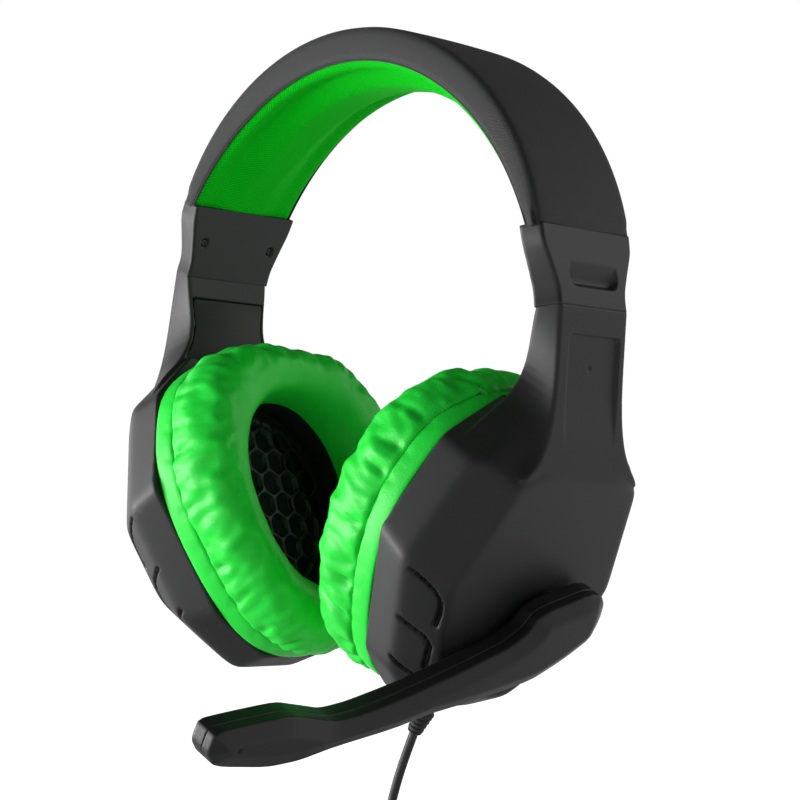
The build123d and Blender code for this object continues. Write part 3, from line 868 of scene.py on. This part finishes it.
def line_distance(a, b, line):
    """Distance from points (a, b) to a polyline, and how far along it they are (0 to 1)."""
    best = np.full(a.shape, 1e9)
    place = np.zeros(a.shape)
    lengths = [math.dist(p, q) for p, q in zip(line, line[1:])]
    total, before = sum(lengths), 0.0
    for (p, q), length in zip(zip(line, line[1:]), lengths):
        da, db = (q[0] - p[0]) / length, (q[1] - p[1]) / length
        t = np.clip((a - p[0]) * da + (b - p[1]) * db, 0, length)
        gap = np.hypot(a - p[0] - da * t, b - p[1] - db * t)
        nearer = gap < best
        best = np.where(nearer, gap, best)
        place = np.where(nearer, (before + t) / total, place)
        before += length
    return best, place


def hook_depth(u, v, w):
    """Gill-like grooves on the two lower side facets."""
    depth = np.zeros(u.shape)
    for line in HOOK_LINES:
        gap, place = line_distance(v, w, line)
        fade = ease(0.0, 0.12, place) * (1 - ease(0.93, 1.0, place))
        depth = np.maximum(depth, 1.9 * fade * (1 - ease(0.25, 0.85, gap)))
    return depth * (np.abs(u) > 20) * (w > 8)


def panel_depth(u, v, w):
    """Long shallow recess on the arm's outer face that fades out downwards."""
    back, front, top, end = PANEL
    middle, half = (back + front) / 2, (front - back) / 2
    across = np.abs(u - middle) - half
    corner = smooth_max(across, v - top, 1.5)
    sunk = 1 - ease(-0.65, 0.1, corner)
    return 0.95 * sunk * ease(end, end + 16.0, v) * (w > arm_outer(v) - 4)


def dimples(a, b, places, depth, low, high):
    """Round dimples at places in a plane, fading out between two radii."""
    best = np.zeros(a.shape)
    for place in places:
        gap = np.hypot(a - place[0], b - place[1])
        best = np.maximum(best, depth * (1 - ease(low, high, gap)))
    return best


def mark_depth(p, side):
    """Round dimples in the panel that tell the sides apart: one on the left, two on the right."""
    places = [(0.0, 59.8)] if side > 0 else [(0.0, 58.5), (0.0, 61.1)]
    return dimples(p[:, 0], p[:, 1], places, 0.35, 0.5, 0.8) * (p[:, 2] > arm_outer(p[:, 1]) - 4)


def cover_recess(u, v, w):
    """Room for the cover on the arm's inner face."""
    across = np.abs(u) - (np.interp(v, ARM_INNER_V, ARM_INNER_HALF) - COVER_INSET)
    along = np.maximum(v - COVER_V[1], COVER_V[0] - v)
    edge = smooth_max(across, along, 0.6)
    return COVER_DEPTH * (1 - ease(-0.25, 0.25, edge)) * (w < arm_inner(v) + 4) * (v > 30)


def shell_field(p):
    blend = 1.8 - 1.4 * ease(15.0, 22.0, p[:, 2])
    return smooth_min(cup_field(p), arm_field(p), blend)


def shell_details(p):
    u, v, w = p.T
    return np.maximum(hook_depth(u, v, w) + panel_depth(u, v, w), cover_recess(u, v, w))


def plain_shell():
    """Shell and arm of either side, in cup coordinates, without its side mark."""
    cup = prism("cup_start", [[Vector((u, v, w)) for u, v in both_halves(half)] for half, w in SHELL_RINGS])
    rows = []
    for v in (27.0, 34.0, 38.0, 42.0, 47.0, 55.0, 65.0, 74.6):
        half_in = float(np.interp(v, ARM_INNER_V, ARM_INNER_HALF))
        half_out = float(np.interp(v, ARM_OUTER_V, ARM_OUTER_HALF))
        low, high = arm_inner(v), min(arm_outer(v), FACE_DEPTH)
        rows.append([Vector((-half_in, v, low)), Vector((half_in, v, low)),
                     Vector((half_out, v, high)), Vector((-half_out, v, high))])
    shell = moulded("plain_shell", [cup, prism("arm_start", rows)], shell_field, 1.0)
    engrave(shell, shell_field, shell_details)
    hollow = [[Vector((u - math.copysign(WALL, u), v - math.copysign(WALL, v), w - lower))
               for u, v in both_halves(half)] for (half, w), lower in zip(SHELL_RINGS, (1, 1, 3.4))]
    cut(shell, prism("hollow", hollow))
    return shell


def make_shell(label, side, plain):
    """One side's shell, with its side mark engraved in the arm's panel."""
    shell = link(label + "_shell", plain.data.copy())
    engrave(shell, shell_field, lambda p: mark_depth(p, side))
    put_on_cup(shell, side)
    settle(shell, label + "_cup", "shell_plastic", label + "_outer_shell")


def make_arm_cover(label, side):
    """Flush cover let into the arm's inner face."""
    outline = []
    steps = 14
    for index in range(steps + 1):
        v = COVER_V[0] + 0.2 + (COVER_V[1] - COVER_V[0] - 0.4) * index / steps
        half = float(np.interp(v, ARM_INNER_V, ARM_INNER_HALF)) - COVER_INSET - 0.2
        outline.append((half - 0.5 if index in (0, steps) else half, v))
    loop = outline + [(-u, v) for u, v in reversed(outline)]
    loops = [[Vector((u - math.copysign(inset, u), v - (v - 55.2) * inset / 9.2, arm_inner(v) + depth))
              for u, v in loop] for depth, inset in ((1.1, 0.0), (0.45, 0.0), (0.15, 0.12), (0.02, 0.4))]
    cover = prism(label + "_arm_plate", loops)
    put_on_cup(cover, side)
    settle(cover, label + "_cup", "inner_plastic", label + "_arm_cover")


# ---------------------------------------------------------------- end blocks
BLOCK_LENGTH = 21.9
BLOCK_DOWN = [-22.0, -17.0, -11.6, -6.4, -3.7, 0.0]
BLOCK_OUTER_HALF = [20.3, 20.2, 17.9, 15.8, 15.2, 15.4]
BLOCK_INNER_HALF = [21.4, 20.7, 19.2, 17.9, 17.4, 17.6]
BLOCK_THICK = [7.1, 7.7]
BLOCK_SLOT = (1.0, 10.9, -12.6, -5.6)   # middle, half width, top, bottom
BLOCK_SCREWS = [(-14.2, -11.0), (14.2, -11.0)]


def slide_matrix(side):
    """From slide coordinates (y, outward, down) in mm to the scene in metres."""
    tilt_cos, tilt_sin = math.cos(SLIDE_TILT), math.sin(SLIDE_TILT)
    origin = (SLIDE_FOOT[0], 0, SLIDE_FOOT[1])
    return side_matrix(side, (tilt_cos, 0, tilt_sin), (tilt_sin, 0, -tilt_cos), origin)


def block_field(p):
    y, out, down = p[:, 0], p[:, 1], p[:, 2]
    thick = np.interp(down, (-BLOCK_LENGTH, 0), BLOCK_THICK) / 2
    share = np.clip((out + thick) / (2 * thick), -0.2, 1.2)
    half = (smooth_table(down, BLOCK_DOWN, BLOCK_OUTER_HALF) * share
            + smooth_table(down, BLOCK_DOWN, BLOCK_INNER_HALF) * (1 - share))
    field = smooth_max(np.abs(y) - half, np.abs(out) - thick, 1.0)
    return smooth_max(field, np.abs(down + BLOCK_LENGTH / 2) - BLOCK_LENGTH / 2, 0.2)


def block_details(p):
    """Finger recess on the outer face and counterbores for the screws inside."""
    y, out, down = p.T
    middle, half, top, low = BLOCK_SLOT
    corner = smooth_max(np.abs(y - middle) - half, down - low, 3.2)
    slot = 1.7 * (1 - ease(-0.9, 0.15, corner)) * ease(top, low - 1.5, down) * (out > 0)
    return slot + dimples(y, down, BLOCK_SCREWS, 1.0, 1.15, 1.55) * (out < 0)


def make_end_block(label, side):
    """Slide block at one end of the band. Its faces look inwards on both sides."""
    loops = []
    for down, outer, inner in zip(BLOCK_DOWN, BLOCK_OUTER_HALF, BLOCK_INNER_HALF):
        loops.append([Vector((-inner, -3.6, down)), Vector((inner, -3.6, down)),
                      Vector((outer, 3.6, down)), Vector((-outer, 3.6, down))])
    block = moulded(label + "_slide_block", [prism("block_start", loops)], block_field, 0.9)
    engrave(block, block_field, block_details)
    block.data.transform(slide_matrix(side))
    if side > 0:
        block.data.flip_normals()
    settle(block, "headband", "shell_plastic", label + "_end_block_outer", label + "_end_block_inner")
    make_screws(label + "_block_screw", 1.05, slide_matrix(side), (0, -1, 0), "headband",
                [(y, -3.2, down) for y, down in BLOCK_SCREWS])


def screw_head(name, radius):
    """Pan head with a cross recess, looking along +Z, its rim at z = 0 (mm turned to metres)."""
    head = lathe(name, [(0.05, -1.0), (radius, -1.0), (radius, -0.15), (radius * 0.93, 0.02),
                        (radius * 0.6, 0.16), (0.05, 0.2)], 28)
    for turn in (0, math.pi / 2):
        bar = lathe("bar", [(radius * 0.2, -0.45), (radius * 0.24, 1.0)], 4)
        bar.data.transform(Matrix.Rotation(math.pi / 4, 4, "Z"))
        bar.data.transform(Matrix.Rotation(turn, 4, "Z") @ Matrix.Diagonal((3.4, 1, 1, 1)))
        cut(head, bar)
    return head


def make_screws(name, radius, matrix, direction, body, places):
    """Screw heads at places in a side's own coordinates. The first stands for the CAD's screws."""
    for index, place in enumerate(places):
        head = screw_head(f"{name}_{index}", radius)
        stand(head, matrix, place, direction)
        settle(head, body, "black_screw", *([name + "s"] if index == 0 else []))


# ---------------------------------------------------------------- headband
BAND_CENTRE_Z = -40.0
BAND_OUTER = (52.3, 6.3)
BAND_INNER = (42.2, 6.2, 0.75)
BAND_STEPS = 220
BAND_UV_HALF = 84.0                 # texture length (mm) from the crown to a band end
PAD_HALF = 20.6
PAD_EDGE = 1.7                      # rise of the pad just inside its seam
PAD_CROWN = 3.6


def band_place(angle, share, offset):
    """Point (x, z) of the band at an angle from the crown, between its inner and outer curves."""
    inner = BAND_INNER[0] + BAND_INNER[1] * angle ** 2 + BAND_INNER[2] * angle ** 4
    outer = BAND_OUTER[0] + BAND_OUTER[1] * angle ** 2
    radius = inner + (outer - inner) * share + offset
    return radius * math.sin(angle), BAND_CENTRE_Z + radius * math.cos(angle)


def band_end(share, offset):
    """Angle where the band goes into the end block."""
    low, high = math.radians(60), math.radians(100)
    for _ in range(24):
        middle = (low + high) / 2
        x, z = band_place(middle, share, offset)
        depth = (x - SLIDE_FOOT[0]) * math.sin(SLIDE_TILT) - (z - SLIDE_FOOT[1]) * math.cos(SLIDE_TILT)
        if depth < -BLOCK_LENGTH + 1.0:
            low = middle
        else:
            high = middle
    return low


def band_sweep(name, profile):
    """Closed section swept along the band, with UVs of arc length and way round the section.

    The profile gives the section's points (y, share, offset) for a place along the band.
    """
    first = profile(0.0)
    columns = len(first)
    points, lengths = [], []
    ends = [band_end(share, offset) for _, share, offset in first]
    for index in range(BAND_STEPS + 1):
        t = 2 * index / BAND_STEPS - 1
        for (y, share, offset), end in zip(profile(t), ends):
            x, z = band_place(t * end, share, offset)
            points.append(Vector((x, y, z)) * MM)
        lengths.append(t * BAND_UV_HALF)
    around = [0.0]
    for a, b in zip(points[:columns], points[1:columns] + points[:1]):
        around.append(around[-1] + (b - a).length / MM)
    piece = mesh_piece(name, points, tube_faces(BAND_STEPS + 1, columns))
    layer = piece.data.uv_layers.new(name="UVMap")
    for face in piece.data.polygons:
        wraps = len(face.vertices) == 4 and max(i % columns for i in face.vertices) == columns - 1
        for corner in face.loop_indices:
            row, column = divmod(piece.data.loops[corner].vertex_index, columns)
            over = columns if wraps and column == 0 else column
            layer.data[corner].uv = (lengths[row], around[over])
    return piece


def cover_profile(t):
    """Section of the sewn cover: a soft-edged channel, crowned on top and tucked in at the end blocks."""
    outer = [(-20.2, 0.0, 0.75), (-20.8, 0.0, 0.35), (-21.15, 0.0, 1.0), (-21.3, 0.25, 0.0),
             (-21.4, 0.5, 0.0), (-21.35, 0.72, 0.0), (-21.25, 1.0, -1.7), (-20.95, 1.0, -0.85),
             (-20.35, 1.0, -0.35), (-19.3, 1.0, -0.1), (-17.5, 1.0, 0.0)]
    top = [(y, 1.0, 0.25 * (1 - (y / 17.5) ** 2)) for y in (-13.0, -8.5, -4.0, 0.0, 4.0, 8.5, 13.0)]
    inside = [(19.2, 1.0, -1.7), (-19.2, 1.0, -1.7)]
    tuck = smooth_step(0.95, 0.975, abs(t))
    section = outer + top + [(-y, k, o) for y, k, o in reversed(outer)] + inside
    return [(y * (1 - 0.012 * tuck), k, o - 0.3 * k * tuck) for y, k, o in section]


def pad_height(y, t):
    """How far the crown pad stands out: a full middle inside a valley, and a flat margin by the seam."""
    across = abs(y)
    middle = 1 - smooth_step(4.5, 13.5, across)
    valley = math.exp(-((across - 13.6) / 1.9) ** 2)
    margin = 1 - smooth_step(PAD_HALF - 2.4, PAD_HALF + 0.3, across)
    along = 0.3 + 0.7 * (1 - smooth_step(0.75, 1.0, abs(t)))
    return PAD_EDGE * margin * along + (PAD_CROWN * middle - 0.6 * valley) * along


def pad_profile(t):
    face = []
    for y in [PAD_HALF * (-1 + 2 * k / 44) for k in range(45)]:
        edge = smooth_step(PAD_HALF - 1.2, PAD_HALF + 0.1, abs(y))
        face.append((y, 0.0, 0.35 - pad_height(y, t) + 0.5 * edge))
    return face + [(PAD_HALF, 0.0, 2.2), (-PAD_HALF, 0.0, 2.2)]


def make_band():
    """Sewn cover, crown pad and the two seams along its edges."""
    cover = band_sweep("band_cover", cover_profile)
    settle(cover, "headband", "cover_fabric", "headband_cover")
    pad = band_sweep("crown_pad", pad_profile)
    settle(pad, "headband", "green_mesh", "headband_pad")
    for name, edge in (("band_seam_front", -20.7), ("band_seam_back", 20.7)):
        thread = [(edge + a, 0.0, 0.45 + b) for a, b in circle(0.32, 8)]
        settle(band_sweep(name, lambda t: thread), "headband", "cover_fabric")


# ---------------------------------------------------------------- ear cushions and grilles
EAR_HOLE = (23.5, 28.5)
CUSHION_AROUND = 168
SEAM_DEPTH = 7.1
CUSHION_SECTION = [
    (-0.5, 7.1), (0.4, 7.35), (0.9, 8.7), (1.3, 11.2), (1.3, 14.2), (0.6, 17.8), (-0.9, 20.8),
    (-3.0, 22.8), (-5.8, 24.3), (-8.8, 24.8), (-11.6, 24.4), (-14.2, 23.0), (-16.2, 20.4),
    (-17.4, 16.8), (-17.9, 12.6), (-18.0, 8.4), (-17.9, 4.6), (-16.6, 2.1), (-12.0, 2.1), (-7.0, 2.1),
    (-3.0, 3.0), (-1.6, 5.2),
]
BAND_SECTION = [
    (-1.6, 0.05), (-0.1, 0.05), (0.3, 0.4), (0.5, 1.4), (0.6, 3.2), (0.6, 5.0), (0.5, 6.4), (0.1, 7.05),
    (-0.6, 7.1), (-1.6, 6.9),
]
CUSHION_REACH = 18.2                # from the outline to the ear opening, along the section
PINNED_FROM = 16                    # section points that sit on the baffle and the seam
# depth of the inner wall that is painted dark as painted shade
SHADED_WALL_DEPTH = 12.0
GATHER_PITCH = 8.4
GATHER_DEPTH = 1.6


def round_corners(points, rounds, share=0.25):
    """Closed outline with its corners cut again and again."""
    for _ in range(rounds):
        cut = []
        for (ax, ay), (bx, by) in zip(points, points[1:] + points[:1]):
            cut.append((ax + (bx - ax) * share, ay + (by - ay) * share))
            cut.append((bx + (ax - bx) * share, by + (ay - by) * share))
        points = cut
    return points


def even_loop(points, count):
    """Closed outline resampled at equal steps: places, outward normals and its length."""
    closed = np.array(points + points[:1])
    steps = np.linalg.norm(np.diff(closed, axis=0), axis=1)
    along = np.concatenate(([0.0], np.cumsum(steps)))
    wanted = np.arange(count) * along[-1] / count
    loop = np.stack([np.interp(wanted, along, closed[:, k]) for k in (0, 1)], axis=1)
    tangent = np.roll(loop, -1, axis=0) - np.roll(loop, 1, axis=0)
    tangent /= np.linalg.norm(tangent, axis=1)[:, None]
    normal = np.stack([tangent[:, 1], -tangent[:, 0]], axis=1)
    if (normal * loop).sum() < 0:
        normal = -normal
    return loop, normal, along[-1]


CUSHION_LOOP, CUSHION_NORMAL, CUSHION_ROUND = even_loop(
    round_corners(both_halves(CUSHION_HALF), 3), CUSHION_AROUND)
LOOP_ANGLES = np.arctan2(CUSHION_LOOP[:, 1], CUSHION_LOOP[:, 0])


def section_point(index, offset, depth):
    """Place of a section point: outside the outline by its normal, inside it towards the ear opening."""
    out = CUSHION_LOOP[index]
    if offset >= 0:
        place = out + CUSHION_NORMAL[index] * offset
    else:
        angle = math.atan2(out[1] / EAR_HOLE[1], out[0] / EAR_HOLE[0])
        inner = np.array((EAR_HOLE[0] * math.cos(angle), EAR_HOLE[1] * math.sin(angle)))
        place = out + (inner - out) * (-offset / CUSHION_REACH)
    return Vector((place[0], place[1], -depth))


def outline_ring(name, section):
    """Closed ring (mm) with one section all round."""
    return ring(name, [[section_point(i, offset, depth) for offset, depth in section]
                       for i in range(CUSHION_AROUND)])


def inflate(piece, pinned, pressure, frames, cap):
    """Swell a closed skin with a cloth simulation, and keep its result. Sizes are in metres."""
    before = [v.co.copy() for v in piece.data.vertices]
    piece.vertex_groups.new(name="pinned").add(pinned, 1.0, "REPLACE")
    cloth = modifier(piece, "CLOTH")
    settings = {"quality": 6, "mass": 0.3, "tension_stiffness": 18, "compression_stiffness": 12,
                "bending_stiffness": 0.4, "vertex_group_mass": "pinned", "use_pressure": True,
                "uniform_pressure_force": pressure}
    for key, value in settings.items():
        setattr(cloth.settings, key, value)
    cloth.settings.effector_weights.gravity = 0
    cloth.point_cache.frame_start = 1
    cloth.point_cache.frame_end = frames
    for frame_number in range(1, frames + 1):
        bpy.context.scene.frame_set(frame_number)
    apply_modifiers(piece)
    for vertex, start in zip(piece.data.vertices, before):
        move = vertex.co - start
        if move.length > cap:
            vertex.co = start + move.normalized() * cap
    bpy.context.scene.frame_set(1)


def gather_lines():
    """Places round the outline where the skin is gathered, with each one's strength, slant and reach."""
    chance = np.random.default_rng(7)
    lines = []
    place = 0.0
    while place < CUSHION_ROUND - GATHER_PITCH * 0.6:
        strength = 0.35 + 0.65 * chance.random()
        lines.append((place, strength, (chance.random() - 0.5) * 0.8, 8.0 + 8.0 * chance.random()))
        place += GATHER_PITCH * (0.55 + 0.9 * chance.random())
    return lines


GATHERS = gather_lines()


def loop_place(p):
    """How far round the outline each point lies, in mm."""
    order = np.argsort(LOOP_ANGLES)
    places = np.unwrap(order * CUSHION_ROUND / CUSHION_AROUND, period=CUSHION_ROUND)
    return np.interp(np.arctan2(p[:, 1], p[:, 0]), LOOP_ANGLES[order], places) % CUSHION_ROUND


def gather_push(p, shift):
    """How far (mm) the gathered skin moves in at its creases."""
    along = loop_place(p)
    depth = -p[:, 2]
    push = np.zeros(len(p))
    for place, strength, slant, reach in GATHERS:
        gap = along - place - shift - slant * (depth - SEAM_DEPTH)
        gap = (gap + CUSHION_ROUND / 2) % CUSHION_ROUND - CUSHION_ROUND / 2
        fade = 1 - ease(reach * 0.55, SEAM_DEPTH + reach * 1.15, depth)
        push -= strength * fade * np.exp(-(gap / 1.5) ** 2)
    return push * (0.4 + 0.6 * ease(SEAM_DEPTH, SEAM_DEPTH + 3.5, depth))


def gather_skin(cushion, side):
    """Gather the skin at its seam and ripple the rest of it."""
    points = points_of(cushion)
    normals = np.empty(len(points) * 3)
    cushion.data.vertices.foreach_get("normal", normals)
    normals = normals.reshape(-1, 3)
    facing = (normals[:, :2] * points[:, :2]).sum(axis=1) / np.linalg.norm(points[:, :2], axis=1)
    outside = ease(-0.25, 0.5, facing)
    open_skin = ease(SEAM_DEPTH - 0.4, SEAM_DEPTH + 0.9, -points[:, 2])
    push = GATHER_DEPTH * gather_push(points, 2.0 * side) + 0.55
    ripples = np.array([noise.noise(Vector(q) * 0.13) for q in points]) * 1.2
    fine = np.array([noise.noise(Vector((q[0] * 0.3, q[1] * 0.3, q[2] * 0.16))) for q in points]) * 0.7
    move = (push + ripples + fine) * outside * open_skin + 0.25 * ripples * (1 - outside) * open_skin
    set_points(cushion, points + normals * move[:, None])


def make_cushion(label, side):
    """Gathered leatherette ring, with painted shade on the inner wall of its foot: those faces get the dark
    cloth material.
    """
    cushion = outline_ring(label + "_cushion", CUSHION_SECTION)
    columns = len(CUSHION_SECTION)
    pinned = [i * columns + j for i in range(CUSHION_AROUND) for j in range(columns)
              if j == 0 or j >= PINNED_FROM]
    cushion.data.transform(Matrix.Diagonal((MM, MM, MM, 1)))
    inflate(cushion, pinned, 4.0, 20, 1.4 * MM)
    cushion.data.transform(Matrix.Diagonal((1 / MM, 1 / MM, 1 / MM, 1)))
    change(cushion, "SUBSURF", levels=2)
    gather_skin(cushion, side)
    smooth_shading(cushion)
    # painted shade: the foot's inward-facing faces, down to this depth, get the dark cloth material
    shaded_wall = [f.index for f in cushion.data.polygons
              if -SHADED_WALL_DEPTH < f.center.z and f.normal.x * f.center.x + f.normal.y * f.center.y < 0]
    put_on_cup(cushion, side)
    settle(cushion, label + "_cup", "green_leatherette", label + "_ear_cushion")
    paint(cushion, "grille_cloth", shaded_wall)


def make_cushion_band(label, side):
    """Flat sewn band between the cushion and the shell, puckered at the cushion's gathers."""
    band = outline_ring(label + "_cushion_band", BAND_SECTION)
    change(band, "SUBSURF", levels=2)
    points = points_of(band)
    outward = points * (1, 1, 0)
    outward /= np.linalg.norm(outward, axis=1)[:, None]
    at_seam = points * (1, 1, 0) - (0, 0, SEAM_DEPTH)
    pucker = 0.9 * gather_push(at_seam, 2.0 * side) * ease(2.6, 6.6, -points[:, 2])
    set_points(band, points + outward * pucker[:, None])
    put_on_cup(band, side)
    settle(band, label + "_cup", "green_leatherette")


HEX_PITCH = 7.7
HEX_APOTHEM = 3.45
GRILLE_TOP = -1.9
GRILLE_FLOOR = -0.55


def hex_gap(u, v):
    """Distance outside the nearest grille cell (negative inside), with soft corners."""
    row_height = HEX_PITCH * math.sqrt(3) / 2
    best = np.full(u.shape, 1e9)
    for row in range(-5, 6):
        for column in range(-5, 6):
            du = u - (column * HEX_PITCH + (HEX_PITCH / 2 if row % 2 else 0.0))
            dv = v - row * row_height
            fields = [np.abs(du * math.cos(a) + dv * math.sin(a)) for a in (0, math.pi / 3, 2 * math.pi / 3)]
            cell = smooth_max(smooth_max(fields[0], fields[1], 0.9), fields[2], 0.9) - HEX_APOTHEM
            best = np.minimum(best, cell)
    return best


def make_grille(label, side):
    """Honeycomb moulding over cloth, as a relief with a flat back."""
    half_u, half_v = EAR_HOLE[0] - 0.2, EAR_HOLE[1] - 0.2
    step = 0.34
    us = np.arange(-half_u - step, half_u + step, step)
    vs = np.arange(-half_v - step, half_v + step, step)
    u, v = (grid.ravel() for grid in np.meshgrid(us, vs))
    reach = np.maximum(np.hypot(u / half_u, v / half_v), 1.0)
    u, v = u / reach, v / reach
    rim = 1 - ease(0.9, 0.93, np.hypot(u / half_u, v / half_v))
    gap = hex_gap(u, v)
    sunk = (1 - ease(-0.45, 0.05, gap)) * rim
    dome = 0.12 * (1 - ease(0.0, 0.7, np.abs(gap)))
    top = GRILLE_TOP + (GRILLE_FLOOR - GRILLE_TOP) * sunk - dome * (1 - sunk)
    points = [Vector(p) for p in zip(u, v, top)] + [Vector((a, b, -0.05)) for a, b in zip(u, v)]
    front = grid_faces(len(vs), len(us))
    back = [tuple(len(u) + i for i in reversed(face)) for face in front]
    piece = mesh_piece(label + "_grille_relief", points, front + back)
    work = bmesh.new()
    work.from_mesh(piece.data)
    bmesh.ops.remove_doubles(work, verts=work.verts, dist=0.02)
    bmesh.ops.dissolve_degenerate(work, dist=0.01, edges=work.edges)
    bmesh.ops.bridge_loops(work, edges=[e for e in work.edges if e.is_boundary])
    bmesh.ops.recalc_face_normals(work, faces=work.faces)
    work.to_mesh(piece.data)
    work.free()
    floors = [f.index for f in piece.data.polygons if GRILLE_FLOOR - 0.2 < f.center.z < -0.3]
    settle(piece, label + "_cup", "grille_plastic", label + "_grille")
    paint(piece, "grille_cloth", floors)
    put_on_cup(piece, side)


# ---------------------------------------------------------------- boom microphone
BOOM_OUTLINE = [
    (17.6, 2.9), (12.0, 2.9), (-5.6, -3.2), (-7.6, -8.4), (-13.0, -13.2), (-30.3, -20.8), (-48.4, -27.8),
    (-62.0, -32.0), (-71.0, -33.6), (-80.0, -32.2), (-89.0, -30.8), (-104.0, -32.8), (-114.0, -34.4),
    (-113.6, -40.5), (-109.5, -44.4), (-90.0, -46.0), (-79.0, -44.8), (-68.0, -41.6), (-47.0, -37.2),
    (-35.0, -33.4), (-19.0, -30.2), (3.0, -24.6), (13.5, -18.2), (21.8, -11.5), (22.0, -4.5), (20.6, 0.2),
]
BOOM_BACK = 26.0
BOOM_SEAM = 30.5
BOOM_FRONT = 35.7
BOOM_CHAMFER = (4.5, 2.4)            # how far in from the side, and back from the front
HUB_PAD = (8.8, 24.4)
MIC_PLACE = (-105.5, -38.6)
BOOM_SCREWS = [(-87.0, -37.8), (-12.0, -16.0)]


def outline_gap(u, v, outline):
    """Signed distance to a closed outline, negative inside."""
    best = np.full(u.shape, 1e9)
    crossings = np.zeros(u.shape, dtype=int)
    for (au, av), (bu, bv) in zip(outline, outline[1:] + outline[:1]):
        du, dv = bu - au, bv - av
        t = np.clip(((u - au) * du + (v - av) * dv) / (du * du + dv * dv), 0, 1)
        best = np.minimum(best, np.hypot(u - au - du * t, v - av - dv * t))
        above = (av > v) != (bv > v)
        slope = dv if abs(dv) > 1e-9 else 1e-9
        crossings += above & (u < au + (v - av) * du / slope)
    return np.where(crossings % 2 == 1, -best, best)


BOOM_CURVE = round_corners(BOOM_OUTLINE, 2, 0.16)


def boom_field(p):
    u, v, w = p[:, 0], p[:, 1], p[:, 2]
    side = outline_gap(u, v, BOOM_CURVE)
    middle, half = (BOOM_FRONT + BOOM_BACK) / 2, (BOOM_FRONT - BOOM_BACK) / 2
    field = smooth_max(side, np.abs(w - middle) - half, 1.1)
    across, back = BOOM_CHAMFER
    bevel = (side * back + (w - BOOM_FRONT + back) * across) / math.hypot(across, back)
    return smooth_max(field, bevel, 0.5)


def front_half_field(p):
    return smooth_max(boom_field(p), BOOM_SEAM + 0.02 - p[:, 2], 0.2)


def back_half_field(p):
    pad = np.hypot(p[:, 0] - PIVOT[0], p[:, 1] - PIVOT[1]) - HUB_PAD[0]
    pad = smooth_max(pad, np.abs(p[:, 2] - 27.0) - (27.0 - HUB_PAD[1]), 0.6)
    whole = smooth_min(boom_field(p), pad, 0.8)
    return smooth_max(whole, p[:, 2] - BOOM_SEAM + 0.02, 0.2)


def front_details(p):
    """Microphone hole."""
    return dimples(p[:, 0], p[:, 1], [MIC_PLACE], 1.2, 0.35, 0.75) * (p[:, 2] > BOOM_SEAM + 1)


def back_details(p):
    """Counterbores for the boom's screws."""
    return dimples(p[:, 0], p[:, 1], BOOM_SCREWS, 1.2, 1.75, 2.2) * (p[:, 2] < BOOM_BACK + 1)


def make_boom():
    halves = (("boom_front", front_half_field, front_details, BOOM_SEAM - 0.2, BOOM_FRONT),
              ("boom_back", back_half_field, back_details, BOOM_BACK, BOOM_SEAM))
    for name, field, details, low, high in halves:
        starts = [prism("boom_start", [[Vector((u, v, w)) for u, v in BOOM_CURVE] for w in (low, high)])]
        if name == "boom_back":
            rim = [(PIVOT[0] + a, PIVOT[1] + b) for a, b in circle(HUB_PAD[0], 40)]
            ends = (HUB_PAD[1], 27.5)
            starts.append(prism("pad_start", [[Vector((u, v, w)) for u, v in rim] for w in ends]))
        piece = moulded(name + "_moulding", starts, field, 0.8)
        engrave(piece, field, details)
        put_on_cup(piece, 1)
        settle(piece, "mic_boom", "boom_plastic", name + "_shell")
    make_screws("boom_screw", 1.5, cup_matrix(1), (0, 0, -1), "mic_boom",
                [(u, v, BOOM_BACK + 0.75) for u, v in BOOM_SCREWS])


# ---------------------------------------------------------------- build
make_camera()
finish_cad_nodes()
make_cable()
plain = plain_shell()
for label, side in SIDES.items():
    make_shell(label, side, plain)
    make_arm_cover(label, side)
    make_end_block(label, side)
    make_cushion(label, side)
    make_cushion_band(label, side)
    make_grille(label, side)
bpy.data.objects.remove(plain)
make_band()
make_boom()
make_studio()
